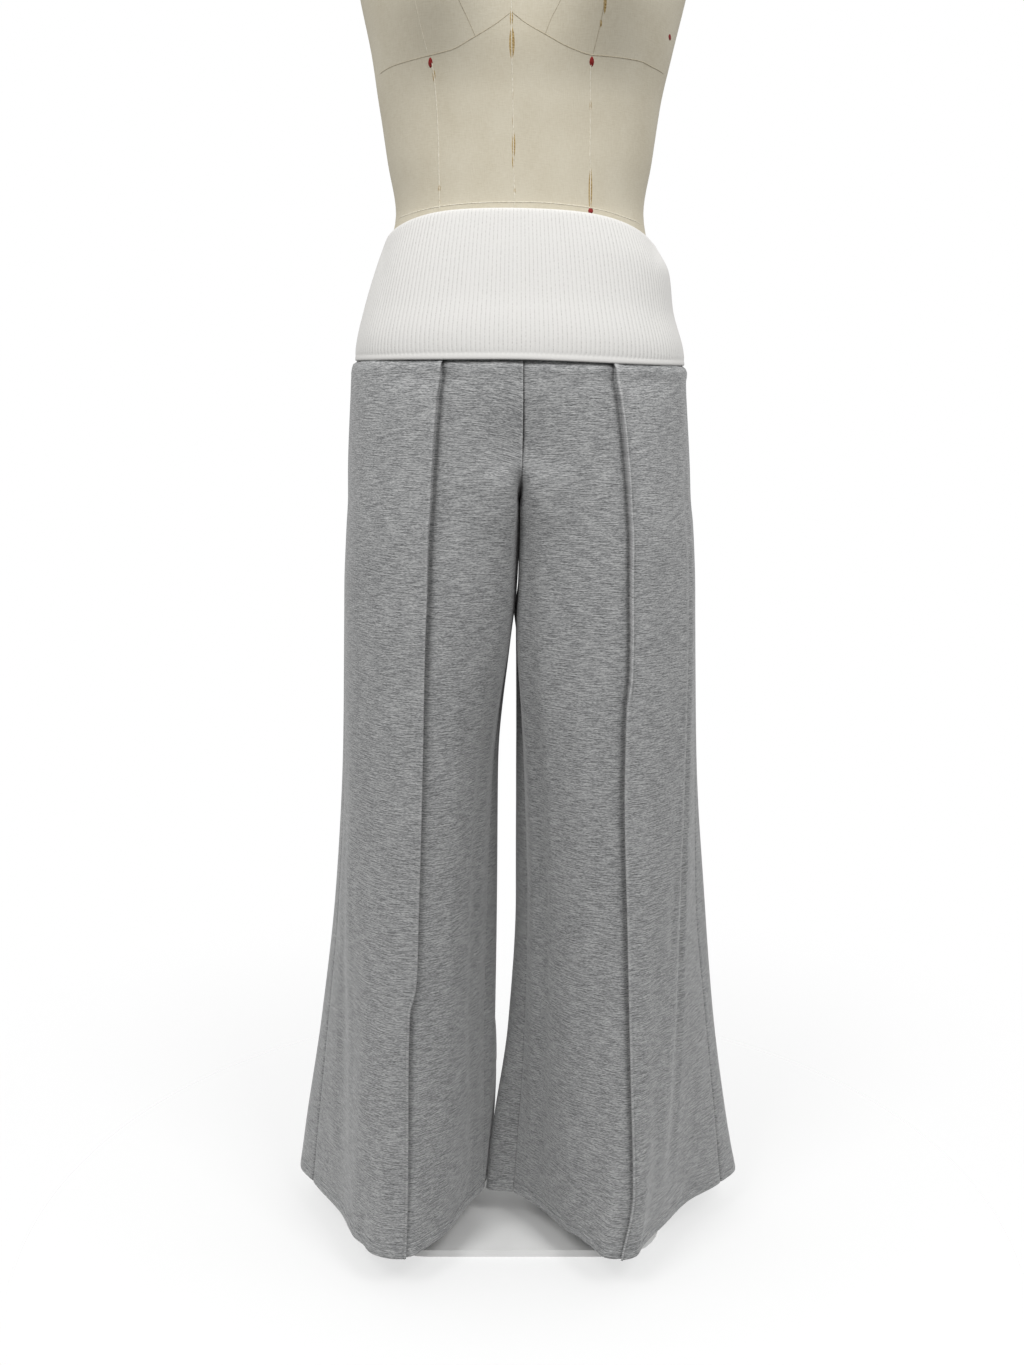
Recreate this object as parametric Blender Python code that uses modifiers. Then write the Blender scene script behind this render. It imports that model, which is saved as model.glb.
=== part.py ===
"""Wide-leg lounge pants with a folded-over ribbed waistband, worn by a limbless dress form.

Metres, +Z up. The front faces -Y, and +X is the wearer's left. The origin is on the
floor, under the middle of the waist. Each leg is a front and a back panel: walls lofted
through level sections, whose key points stand in the tables below in millimetres.
"""

import math
from collections import namedtuple

import bpy

MM = 0.001

# Cloth
CLOTH = 0.0018  # wall of the leg panels
HEM_CLOTH = 0.0027  # wall where the hem is turned up
HEM_TURN = 0.018  # height of the turned hem
HALF_SEAM = 0.00015  # each edge stands this far back from its seam line
HEM_HEIGHT = 0.045
PANEL_TOP = 0.985

# Rise: the centre seam leaves the front and back surface and dips to the crotch
CROTCH_HEIGHT = 0.825
CROTCH_DEPTH = 0.010
FRONT_RISE_TURN = 0.875
BACK_RISE_TURN = 0.900

# Tuck down each front leg, stitched into a ridge that leans to the middle
TUCK_HEIGHT_TOP = 0.0030
TUCK_HEIGHT_HEM = 0.0018
TUCK_LEAN_TOP = 0.0046
TUCK_LEAN_LOW = 0.0008
TUCK_LEAN_END = 0.880  # below this height the tuck no longer lies flat
TUCK_PRESSED = 0.0008  # its height where the waistband lies on it
TUCK_FREE = 0.960
TUCK_FOOT = 0.0012  # between the two columns at its inner foot
TUCK_BASE = 0.005  # from its crest to its outer foot

# Waistband
BAND_LOW = 0.9635
BAND_TOP = 1.0995
BAND_SIDE_DIP = 0.019  # how far the top fold dips to each side, and how late
BAND_DIP_CURVE = 4
RIBS = 208
RIB_RELIEF = 0.0006
RIB_EVENING = 0.088  # of the angle, so that ribs are as wide in front as at the sides
FLAP = 0.0024  # the fold that hangs over the panels
FLAP_GAP = 0.0013
BAND_WALL = 0.0034  # all its layers, at the top

# Form and stand
FORM_SIDES = 40
POLE_X, POLE_Y = 0.078, 0.004
POLE_RADIUS = 0.0125
SOCKET_RADIUS, SOCKET_LENGTH = 0.021, 0.020
FLANGE_RADIUS, FLANGE_HEIGHT = 0.034, 0.010
BASE_WIDTH, BASE_DEPTH, BASE_THICK = 0.320, 0.270, 0.008
BASE_CENTRE_Y = 0.073
BASE_CORNER = 0.060
FACE_GAP = 0.0003

# Fronts: a row for each section, (x, y) in mm. The seam is the inseam, or above the
# crotch the centre seam; the corner is where the front turns in between the legs.
Front = namedtuple("Front", "height seam corner inner crease flank edge side")
LEFT_FRONT = (
    Front(0.985, (4.15, -112), (30, -111), (60, -107), (88, -98), (118, -82), (145, -54), (158, -8)),
    Front(0.964, (4.15, -113), (30, -112), (60, -108), (89, -100), (119, -85), (146, -58), (161, -8)),
    Front(0.948, (4.15, -115), (30, -115), (61, -112), (91, -104), (124, -86), (153, -58), (167, -9)),
    Front(0.930, (4.15, -116), (30, -116), (62, -114), (94, -108), (128, -90), (156, -58), (168, -10)),
    Front(0.860, (3.15, -108), (19, -111), (62, -115), (102, -114), (136, -96), (160, -60), (173, -12)),
    Front(0.825, (1.5, 10), (11, -100), (61, -114), (104, -117), (138, -99), (162, -61), (175, -12)),
    Front(0.800, (1.8, 4), (8, -94), (60, -113), (106, -119), (140, -101), (165, -62), (178, -12)),
    Front(0.740, (1.5, -2), (6, -88), (60, -112), (107, -121), (141, -103), (168, -65), (182, -12)),
    Front(0.700, (-1, -6), (5, -84), (60, -112), (108, -122), (141, -105), (169, -66), (183, -12)),
    Front(0.550, (5, -24), (15, -72), (62, -111), (107, -125), (141, -108), (170, -68), (187, -12)),
    Front(0.400, (9, -30), (20, -66), (62, -106), (111, -127), (143, -108), (172, -60), (193, -8)),
    Front(0.250, (6, -26), (21, -58), (60, -100), (116, -129), (146, -104), (180, -50), (209, -4)),
    Front(0.120, (-1, -15), (20, -46), (60, -96), (120, -131), (150, -94), (187, -38), (225, 4)),
    Front(0.045, (-6, -9), (20, -34), (58, -90), (108, -134), (149, -86), (191, -27), (234, 12)),
)
RIGHT_FRONT = (
    Front(0.985, (3.85, -112), (-22, -111), (-46, -109), (-69, -104), (-108, -88), (-142, -58), (-158, -8)),
    Front(0.964, (3.85, -113), (-22, -113), (-46, -110), (-71, -106), (-110, -90), (-144, -61), (-161, -8)),
    Front(0.948, (3.85, -115), (-23, -116), (-48, -114), (-73, -109), (-115, -94), (-151, -62), (-167, -9)),
    Front(0.930, (3.85, -116), (-24, -117), (-50, -116), (-76, -113), (-119, -97), (-154, -61), (-168, -10)),
    Front(0.860, (2.85, -108), (-18, -111), (-52, -116), (-82, -117), (-128, -100), (-158, -62), (-172, -12)),
    Front(0.825, (1.2, 10), (-15, -100), (-52, -115), (-84, -119), (-131, -102), (-160, -63), (-173, -12)),
    Front(0.800, (0.6, 4), (-13, -94), (-52, -114), (-86, -120), (-133, -103), (-162, -64), (-175, -12)),
    Front(0.740, (-1.5, -2), (-12, -86), (-53, -111), (-88, -121), (-134, -105), (-166, -65), (-179, -12)),
    Front(0.700, (-6, -6), (-15, -80), (-54, -108), (-90, -122), (-136, -106), (-167, -66), (-180, -12)),
    Front(0.550, (-26, -20), (-36, -62), (-62, -99), (-95, -124), (-138, -108), (-171, -66), (-184, -10)),
    Front(0.400, (-33, -26), (-44, -60), (-68, -98), (-101, -127), (-146, -111), (-180, -60), (-194, -8)),
    Front(0.250, (-37, -26), (-48, -58), (-72, -98), (-112, -129), (-153, -115), (-184, -58), (-211, -4)),
    Front(0.120, (-38, -14), (-49, -40), (-76, -94), (-115, -130), (-158, -118), (-192, -52), (-227, 4)),
    Front(0.045, (-40, -5), (-52, -26), (-80, -92), (-118, -132), (-160, -120), (-197, -48), (-236, 14)),
)

# Backs: the way on from the side seam to the inner side of the leg
Back = namedtuple("Back", "height outermost flank crest turn innermost")
LEFT_BACK = (
    Back(0.985, (158, 18), (142, 60), (93, 98), (50, 111), (22, 114)),
    Back(0.964, (160, 18), (144, 62), (94, 101), (50, 113), (22, 116)),
    Back(0.948, (167, 19), (150, 63), (95, 105), (50, 116), (22, 119)),
    Back(0.930, (169, 20), (155, 66), (98, 108), (50, 119), (24, 122)),
    Back(0.860, (174, 20), (161, 68), (104, 112), (48, 118), (22, 112)),
    Back(0.825, (176, 20), (163, 69), (105, 113), (37, 110), (9, 64)),
    Back(0.800, (179, 20), (164, 70), (106, 113), (31, 105), (5, 42)),
    Back(0.740, (182, 20), (166, 70), (107, 113), (27, 96), (4, 28)),
    Back(0.700, (184, 20), (168, 70), (107, 114), (26, 92), (-2, 15)),
    Back(0.550, (191, 22), (172, 72), (108, 117), (30, 86), (-2, 8)),
    Back(0.400, (202, 24), (180, 74), (110, 121), (34, 84), (-2, 5)),
    Back(0.250, (220, 30), (194, 78), (115, 120), (40, 78), (-14, 0)),
    Back(0.120, (241, 37), (205, 82), (126, 120), (46, 74), (-29, -2)),
    Back(0.045, (254, 44), (214, 84), (130, 122), (48, 72), (-36, -1)),
)
RIGHT_BACK = (
    Back(0.985, (-158, 18), (-142, 60), (-93, 98), (-50, 111), (-22, 114)),
    Back(0.964, (-160, 18), (-144, 62), (-94, 101), (-50, 113), (-22, 116)),
    Back(0.948, (-167, 19), (-150, 63), (-95, 105), (-50, 116), (-22, 119)),
    Back(0.930, (-169, 20), (-155, 66), (-98, 108), (-50, 119), (-20, 122)),
    Back(0.860, (-173, 20), (-161, 68), (-104, 112), (-47, 118), (-19, 112)),
    Back(0.825, (-174, 20), (-163, 69), (-105, 114), (-38, 110), (-7, 64)),
    Back(0.800, (-176, 20), (-164, 70), (-106, 114), (-32, 105), (-4, 42)),
    Back(0.740, (-179, 20), (-165, 71), (-107, 116), (-30, 98), (-5, 28)),
    Back(0.700, (-181, 20), (-166, 72), (-108, 118), (-32, 94), (-7, 15)),
    Back(0.550, (-188, 22), (-172, 76), (-112, 124), (-46, 92), (-21, 8)),
    Back(0.400, (-202, 24), (-184, 80), (-118, 130), (-54, 92), (-23, 4)),
    Back(0.250, (-220, 31), (-200, 88), (-130, 138), (-60, 94), (-25, 0)),
    Back(0.120, (-242, 40), (-220, 98), (-142, 145), (-66, 98), (-32, -1)),
    Back(0.045, (-254, 48), (-232, 108), (-150, 154), (-70, 108), (-38, 2)),
)

# Level rows of the panels, hem to waist, closer together where the crotch turns
ROW_HEIGHTS = (
    0.045, 0.062, 0.064, 0.100, 0.150, 0.220, 0.290, 0.360, 0.430, 0.500, 0.570, 0.640,
    0.700, 0.750, 0.790, 0.825, 0.8263, 0.8297, 0.8367, 0.850, 0.875, 0.900, 0.925,
    0.945, 0.956, 0.964, 0.985,
)

# Outline of the band from its lower edge (0) to its top fold (1), in mm
Band = namedtuple("Band", "up right left front back")
BAND_ROWS = (
    Band(0.00, 165.6, 164.8, 117.5, 120.5),
    Band(0.12, 166.0, 164.6, 118.0, 120.5),
    Band(0.45, 151.6, 151.4, 110.2, 112.5),
    Band(0.75, 141.0, 145.0, 103.0, 103.0),
    Band(1.00, 134.0, 136.0, 96.0, 94.0),
)
BAND_SQUARENESS = 2.3

# Form: half width, depth in front of and behind its middle, and how far it leans aside
Form = namedtuple("Form", "height half_width front back aside")
FORM_ROWS = (
    Form(0.866, 128, 82, 86, 0),
    Form(0.872, 141, 92, 96, 0),
    Form(0.900, 154, 103, 108, 0),
    Form(0.940, 158, 108, 112, 0),
    Form(0.980, 154, 106, 109, 0),
    Form(1.020, 143, 100, 101, 0),
    Form(1.060, 131, 94, 92, 0),
    Form(1.104, 121, 89, 84, 1),
    Form(1.150, 128, 91, 86, 1),
    Form(1.200, 135, 96, 92, 1),
    Form(1.250, 144, 103, 99, 3),
    Form(1.300, 155, 104, 105, 4),
    Form(1.350, 164, 100, 109, 5),
    Form(1.390, 172, 93, 108, 5),
    Form(1.420, 174, 84, 102, 5),
    Form(1.445, 158, 75, 92, 5),
    Form(1.470, 112, 66, 76, 5),
    Form(1.490, 72, 57, 62, 5),
    Form(1.520, 56, 52, 54, 5),
    Form(1.560, 53, 50, 50, 5),
)
FORM_SQUARENESS = 2.2
BUST_HEIGHT, BUST_APART, BUST_SIZE, BUST_DEPTH = 1.285, 0.078, 0.052, 0.024


def material(name, colour, roughness, metallic=0.0, sheen=0.0):
    """A plain Principled material; colour is linear."""
    made = bpy.data.materials.new(name)
    made.use_nodes = True
    shader = made.node_tree.nodes["Principled BSDF"]
    shader.inputs["Base Color"].default_value = (*colour, 1.0)
    shader.inputs["Roughness"].default_value = roughness
    shader.inputs["Metallic"].default_value = metallic
    shader.inputs["Sheen Weight"].default_value = sheen
    made.diffuse_color = (*colour, 1.0)
    return made


def mix(a, b, t):
    return a + (b - a) * t


def along(p, q, t):
    return (mix(p[0], q[0], t), mix(p[1], q[1], t))


def spline_1d(xs, ys, x):
    """Smooth curve through (xs, ys) that never overshoots; xs rise."""
    if x <= xs[0]:
        return ys[0]
    if x >= xs[-1]:
        return ys[-1]
    k = max(i for i in range(len(xs) - 1) if xs[i] <= x)
    slopes = [(ys[i + 1] - ys[i]) / (xs[i + 1] - xs[i]) for i in range(len(xs) - 1)]

    def tangent(i):
        if i == 0 or i == len(xs) - 1:
            return slopes[0] if i == 0 else slopes[-1]
        a, b = slopes[i - 1], slopes[i]
        return 0.0 if a * b <= 0 else 2 * a * b / (a + b)

    step = xs[k + 1] - xs[k]
    t = (x - xs[k]) / step
    h00, h10 = (1 + 2 * t) * (1 - t) ** 2, t * (1 - t) ** 2
    h01, h11 = t * t * (3 - 2 * t), t * t * (t - 1)
    return h00 * ys[k] + h10 * step * tangent(k) + h01 * ys[k + 1] + h11 * step * tangent(k + 1)


def row_at(table, height):
    """The table's columns at a height, without the height itself."""
    rows = sorted(table)
    heights = [row.height for row in rows]
    found = []
    for column in range(1, len(rows[0])):
        cells = [row[column] for row in rows]
        if isinstance(cells[0], tuple):
            found.append(tuple(spline_1d(heights, [c[i] for c in cells], height) for i in (0, 1)))
        else:
            found.append(spline_1d(heights, cells, height))
    return found


def arc(a, b, c, d, t):
    """Point between b and c on the curve through a, b, c and d, spaced by distance."""
    knots = [0.0]
    for p, q in ((a, b), (b, c), (c, d)):
        knots.append(knots[-1] + max(math.dist(p, q), 1e-9) ** 0.5)
    k = knots
    u = mix(k[1], k[2], t)
    ab = along(a, b, (u - k[0]) / (k[1] - k[0]))
    bc = along(b, c, (u - k[1]) / (k[2] - k[1]))
    cd = along(c, d, (u - k[2]) / (k[3] - k[2]))
    abc = along(ab, bc, (u - k[0]) / (k[2] - k[0]))
    bcd = along(bc, cd, (u - k[1]) / (k[3] - k[1]))
    return along(abc, bcd, (u - k[1]) / (k[2] - k[1]))


def rise_turn(height, turn):
    """Cosine and sine of how far the centre seam has rounded down to the crotch."""
    sine = min(max((turn - height) / (turn - CROTCH_HEIGHT), 0.0), 1.0)
    return math.sqrt(1 - sine * sine), sine


def leg_ring(front_table, back_table, height):
    """Key points round one leg, in metres, from the seam by the side and back to it."""
    front = [tuple(v * MM for v in p) for p in row_at(front_table, height)]
    back = [tuple(v * MM for v in p) for p in row_at(back_table, height)]
    seam = front[0]
    first, last = seam, seam
    if height >= CROTCH_HEIGHT:
        flat_front, flat_back = front[1][1], back[-1][1] + MM
        first = (seam[0], mix(CROTCH_DEPTH, flat_front, rise_turn(height, FRONT_RISE_TURN)[0]))
        last = (seam[0], mix(CROTCH_DEPTH, flat_back, rise_turn(height, BACK_RISE_TURN)[0]))
    ring = [first, *front[1:], *back, last]
    if height < CROTCH_HEIGHT:
        before, after = ring[-2], ring[1]
    elif height >= BACK_RISE_TURN:
        before = (2 * first[0] - ring[1][0], ring[1][1])
        after = (2 * last[0] - ring[-2][0], ring[-2][1])
    else:
        before = along(first, ring[1], -0.5)
        after = along(last, ring[-2], -0.5)
    return [before, *ring, after]


def ring_point(ring, key, t):
    """Point and running direction at part t of the way from one key point to the next."""
    quad = ring[key:key + 4]
    step = 0.02
    here = arc(*quad, t)
    ahead = arc(*quad, min(t + step, 1.0))
    behind = arc(*quad, max(t - step, 0.0))
    run = (ahead[0] - behind[0], ahead[1] - behind[1])
    length = math.hypot(*run)
    return here, (run[0] / length, run[1] / length)


def tuck_at(height):
    """Height and lean of the tuck."""
    up = (height - HEM_HEIGHT) / (PANEL_TOP - HEM_HEIGHT)
    lean_part = max(0.0, (height - TUCK_LEAN_END) / (TUCK_FREE - TUCK_LEAN_END))
    lean = mix(TUCK_LEAN_LOW, TUCK_LEAN_TOP, min(lean_part, 1.0))
    if height >= TUCK_FREE:
        return TUCK_PRESSED, lean
    return mix(TUCK_HEIGHT_HEM, TUCK_HEIGHT_TOP, up ** 3), lean


# Where the columns stand between key points. The tuck takes four: two at its foot on
# the inner side, its crest and one at its outer foot.
FRONT_COLUMNS = (
    (0, (0.0, 0.25, 0.5, 0.75)),
    (1, (0.0, 0.5)),
    (2, (0.0, 0.45)),
    (3, (0.45,)),
    (4, (0.0, 0.5)),
    (5, (0.0, 0.4, 0.75, 1.0)),
)
BACK_COLUMNS = (
    (6, (0.0, 0.5)),
    (7, (0.0, 0.5)),
    (8, (0.0, 0.33, 0.66)),
    (9, (0.0, 0.33, 0.66)),
    (10, (0.0, 0.5)),
    (11, (0.0, 0.35, 0.7, 1.0)),
)
CREASE_KEY = 2


def tuck_columns(ring, height, out):
    """The columns that make the tuck: outer point, point under it, normal and direction."""
    tall, lean = tuck_at(height)
    _, tangent = ring_point(ring, CREASE_KEY + 1, 0.0)
    before = math.dist(ring[CREASE_KEY + 1], ring[CREASE_KEY + 2])
    after = math.dist(ring[CREASE_KEY + 2], ring[CREASE_KEY + 3])
    stations = (
        (CREASE_KEY, 1 - (lean + 2 * TUCK_FOOT) / before, 0.0, 0.0),
        (CREASE_KEY, 1 - TUCK_FOOT / before, 0.0, 0.0),
        (CREASE_KEY + 1, 0.0, tall, lean),
        (CREASE_KEY + 1, TUCK_BASE / after, 0.0, 0.0),
    )
    made = []
    for key, t, lift, shift in stations:
        point, direction = ring_point(ring, key, t)
        normal = (direction[1] * out, -direction[0] * out)
        outer = (
            point[0] + normal[0] * lift - tangent[0] * shift,
            point[1] + normal[1] * lift - tangent[1] * shift,
        )
        made.append((outer, point, normal, direction))
    return made


def seam_edge(height, turn, direction, out):
    """Which way the row runs at its seam edge, and how far the edge stands back."""
    if height < CROTCH_HEIGHT:
        return direction, HALF_SEAM
    cosine, sine = rise_turn(height, turn)
    return (math.copysign(cosine, out), -sine), HALF_SEAM * sine


def panel_row(ring, columns, height, out):
    """Outer and inner points of one panel's row; the edges stand back from the seams."""
    row = []
    in_front = columns is FRONT_COLUMNS
    for key, parts in columns:
        if in_front and key == CREASE_KEY + 1:
            row += tuck_columns(ring, height, out)
        for t in parts:
            point, direction = ring_point(ring, key, t)
            normal = (direction[1] * out, -direction[0] * out)
            row.append((point, point, normal, direction))
    if in_front:
        seam, turn, seam_out, sign = 0, FRONT_RISE_TURN, out, 1
    else:
        seam, turn, seam_out, sign = len(row) - 1, BACK_RISE_TURN, -out, -1
    point, base, _, direction = row[seam]
    direction, back_off = seam_edge(height, turn, direction, seam_out)
    row[seam] = (point, base, (direction[1] * out, -direction[0] * out), direction)
    wall = HEM_CLOTH if height < HEM_HEIGHT + HEM_TURN else CLOTH
    outer = [cell[0] for cell in row]
    inner = [(c[1][0] - c[2][0] * wall, c[1][1] - c[2][1] * wall) for c in row]
    side = len(row) - 1 - seam
    for index, shift in ((seam, sign * back_off), (side, -sign * HALF_SEAM)):
        direction = row[index][3]
        for line in (outer, inner):
            x, y = line[index]
            line[index] = (x + direction[0] * shift, y + direction[1] * shift)
    return outer, inner


def wall_mesh(name, outer_rows, inner_rows):
    """A closed wall between two grids of points, listed row by row."""
    rows, columns = len(outer_rows), len(outer_rows[0])
    points = [p for row in outer_rows for p in row] + [p for row in inner_rows for p in row]
    inside = rows * columns

    def at(i, j):
        return i * columns + j

    faces = []
    for i in range(rows - 1):
        for j in range(columns - 1):
            quad = (at(i, j), at(i, j + 1), at(i + 1, j + 1), at(i + 1, j))
            faces.append(quad)
            faces.append(tuple(inside + v for v in reversed(quad)))
    rim = [at(0, j) for j in range(columns)]
    rim += [at(i, columns - 1) for i in range(1, rows)]
    rim += [at(rows - 1, j) for j in range(columns - 2, -1, -1)]
    rim += [at(i, 0) for i in range(rows - 2, 0, -1)]
    for a, b in zip(rim, rim[1:] + rim[:1]):
        faces.append((b, a, inside + a, inside + b))
    mesh = bpy.data.meshes.new(name)
    mesh.from_pydata(points, [], faces)
    return mesh


def add_part(name, mesh, finish, collection, smooth_angle=40):
    mesh.materials.append(finish)
    made = bpy.data.objects.new(name, mesh)
    collection.objects.link(made)
    mesh.shade_smooth()
    mesh.set_sharp_from_angle(angle=math.radians(smooth_angle))
    return made


def leg_panels(side, front_table, back_table, out, finish, collection):
    """The front and back panel of one leg. out is +1 on the wearer's left, -1 on the right."""
    for part, columns in (("front", FRONT_COLUMNS), ("back", BACK_COLUMNS)):
        outer_rows, inner_rows = [], []
        for height in ROW_HEIGHTS:
            ring = leg_ring(front_table, back_table, height)
            outer, inner = panel_row(ring, columns, height, out)
            outer_rows.append([(x, y, height) for x, y in outer])
            inner_rows.append([(x, y, height) for x, y in inner])
        if out < 0:
            outer_rows = [row[::-1] for row in outer_rows]
            inner_rows = [row[::-1] for row in inner_rows]
        mesh = wall_mesh(f"{part}_leg_{side}", outer_rows, inner_rows)
        add_part(f"{part}_leg_{side}", mesh, finish, collection)


def rounded_outline(angle, right, left, front, back, squareness):
    """Point of a rounded oblong at an angle, with its own reach each way."""
    c, s = math.cos(angle), math.sin(angle)
    wide = left if c >= 0 else right
    deep = back if s >= 0 else front
    reach = (abs(c / wide) ** squareness + abs(s / deep) ** squareness) ** (-1 / squareness)
    return reach * c, reach * s


def band_ring(up, inset, count, relief=0.0):
    """Points round the band at a part of its height, moved inwards by inset."""
    levels = [row.up for row in BAND_ROWS]
    reaches = [
        spline_1d(levels, [row[c] * MM for row in BAND_ROWS], up) - inset for c in (1, 2, 3, 4)
    ]
    points = []
    for k in range(count):
        lift = relief * (0.5 if k % 2 else -0.5)
        angle = 2 * math.pi * k / count
        even = rib_angle(angle)
        points.append(rounded_outline(even, *(r + lift for r in reaches), BAND_SQUARENESS))
    return points


def rib_angle(share):
    """Turns an even share of the band's girth into an angle, so that ribs are evenly wide."""
    return share - RIB_EVENING * math.sin(2 * share)


def band_height(point, up):
    """Height at a part of the band; the top edge dips to each side."""
    across = min(abs(point[0]) / (BAND_ROWS[-1].right * MM), 1.0)
    top = BAND_TOP - BAND_SIDE_DIP * across ** BAND_DIP_CURVE
    return mix(BAND_LOW, top, up)


def ribbed_band(finish, collection):
    """The band as one wall: the folded-over ribbed outside, the top fold and the inside."""
    fine, plain = 2 * RIBS, RIBS // 2
    panel_edge = (PANEL_TOP + FACE_GAP - BAND_LOW) / (BAND_TOP - BAND_LOW)
    ring = []

    def add(up, inset, count, relief=0.0, raise_by=0.0):
        outline = band_ring(up, inset, count, relief)
        ring.append([(x, y, band_height((x, y), up) + raise_by) for x, y in outline])

    add(0.0, FLAP, plain, raise_by=0.0010)
    add(0.0, FLAP * 0.55, plain)
    add(0.012, 0.0, fine, RIB_RELIEF)
    add(0.12, 0.0, fine, RIB_RELIEF)
    add(0.50, 0.0, fine, RIB_RELIEF)
    add(0.975, 0.0, fine, RIB_RELIEF)
    add(1.0, BAND_WALL * 0.4, fine, RIB_RELIEF)
    add(0.985, BAND_WALL, plain)
    add(0.55, BAND_WALL, plain)
    wall_at_seam = FLAP + FLAP_GAP + CLOTH
    level = PANEL_TOP + FACE_GAP
    for inset in (wall_at_seam, FLAP):
        ring.append([(x, y, level) for x, y in band_ring(panel_edge, inset, plain)])

    points = [p for row in ring for p in row]
    starts = [sum(len(row) for row in ring[:i]) for i in range(len(ring))]
    faces = []
    for i, row in enumerate(ring):
        after = (i + 1) % len(ring)
        a, b = len(row), len(ring[after])
        here, there = starts[i], starts[after]
        if a == b:
            for k in range(a):
                n = (k + 1) % a
                faces.append((here + k, here + n, there + n, there + k))
        else:
            faces += zipped(here, a, there, b)
    mesh = bpy.data.meshes.new("waistband")
    mesh.from_pydata(points, [], faces)
    add_part("waistband", mesh, finish, collection, 75)


def zipped(here, a, there, b):
    """Triangles between two rings, one of which has a whole number of times more points."""
    faces = []
    if a < b:
        times = b // a
        for k in range(a):
            n = (k + 1) % a
            middle = k * times + times // 2
            for j in range(times):
                low, high = k * times + j, (k * times + j + 1) % b
                corner = k if k * times + j < middle else n
                faces.append((here + corner, there + high, there + low))
            faces.append((here + k, here + n, there + middle))
    else:
        times = a // b
        for k in range(b):
            n = (k + 1) % b
            middle = k * times + times // 2
            for j in range(times):
                low, high = k * times + j, (k * times + j + 1) % a
                corner = k if k * times + j < middle else n
                faces.append((here + low, here + high, there + corner))
            faces.append((there + n, there + k, here + middle))
    return faces


def bust(x, height):
    """How far the front of the form stands out at the bust."""
    rise = 0.0
    for centre in (-BUST_APART, BUST_APART):
        away = math.hypot(x - centre, (height - BUST_HEIGHT) * 0.9)
        rise += BUST_DEPTH * math.exp(-((away / BUST_SIZE) ** 2))
    return rise


def dress_form(finish, collection):
    """The torso, closed at the neck and at its flat underside."""
    points = []
    for row in FORM_ROWS:
        wide, front, back = row.half_width * MM, row.front * MM, row.back * MM
        for k in range(FORM_SIDES):
            angle = 2 * math.pi * k / FORM_SIDES
            x, y = rounded_outline(angle, wide, wide, front, back, FORM_SQUARENESS)
            if y < 0:
                y -= bust(x, row.height) * min(1.0, -y / (0.5 * front))
            points.append((x + row.aside * MM, y, row.height))
    faces = []
    for i in range(len(FORM_ROWS) - 1):
        for k in range(FORM_SIDES):
            n = (k + 1) % FORM_SIDES
            low, high = i * FORM_SIDES, (i + 1) * FORM_SIDES
            faces.append((low + k, low + n, high + n, high + k))
    top = (len(FORM_ROWS) - 1) * FORM_SIDES
    faces.append(tuple(range(FORM_SIDES - 1, -1, -1)))
    faces.append(tuple(top + k for k in range(FORM_SIDES)))
    mesh = bpy.data.meshes.new("dress_form")
    mesh.from_pydata(points, [], faces)
    add_part("dress_form", mesh, finish, collection, 50)


def rod(name, radius, low, high, finish, collection, edge=0.0):
    """An upright cylinder at the pole's place."""
    bpy.ops.mesh.primitive_cylinder_add(
        vertices=32, radius=radius, depth=high - low, location=(POLE_X, POLE_Y, (low + high) / 2)
    )
    made = bpy.context.object
    made.name = made.data.name = name
    for old in made.users_collection:
        old.objects.unlink(made)
    collection.objects.link(made)
    made.data.materials.append(finish)
    made.data.shade_smooth()
    made.data.set_sharp_from_angle(angle=math.radians(40))
    if edge:
        bevel = made.modifiers.new("edge", "BEVEL")
        bevel.width = edge
        bevel.segments = 2
        bevel.limit_method = "ANGLE"
    return made


def base_plate(finish, collection):
    """A flat plate with round corners, from a filled outline."""
    outline = bpy.data.curves.new("base_plate", "CURVE")
    outline.dimensions = "2D"
    outline.fill_mode = "BOTH"
    outline.extrude = BASE_THICK / 2
    steps = 8
    points = []
    for quarter, (sx, sy) in enumerate(((1, 1), (-1, 1), (-1, -1), (1, -1))):
        for k in range(steps + 1):
            angle = math.radians(90) * (quarter + k / steps)
            points.append((
                sx * (BASE_WIDTH / 2 - BASE_CORNER) + BASE_CORNER * math.cos(angle),
                sy * (BASE_DEPTH / 2 - BASE_CORNER) + BASE_CORNER * math.sin(angle),
            ))
    spline = outline.splines.new("POLY")
    spline.points.add(len(points) - 1)
    for point, (x, y) in zip(spline.points, points):
        point.co = (x, y, 0.0, 1.0)
    spline.use_cyclic_u = True
    outline.materials.append(finish)
    made = bpy.data.objects.new("base_plate", outline)
    made.location = (0.0, BASE_CENTRE_Y, BASE_THICK / 2)
    collection.objects.link(made)


def stand(finish, collection):
    """Base plate, flange, pole and the socket under the form; each face to face."""
    base_plate(finish, collection)
    flange_low = BASE_THICK + FACE_GAP
    pole_low = flange_low + FLANGE_HEIGHT + FACE_GAP
    socket_high = FORM_ROWS[0].height - FACE_GAP
    socket_low = socket_high - SOCKET_LENGTH
    rod("pole_flange", FLANGE_RADIUS, flange_low, flange_low + FLANGE_HEIGHT, finish, collection, 0.002)
    rod("pole", POLE_RADIUS, pole_low, socket_low - FACE_GAP, finish, collection)
    rod("form_socket", SOCKET_RADIUS, socket_low, socket_high, finish, collection, 0.002)


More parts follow.
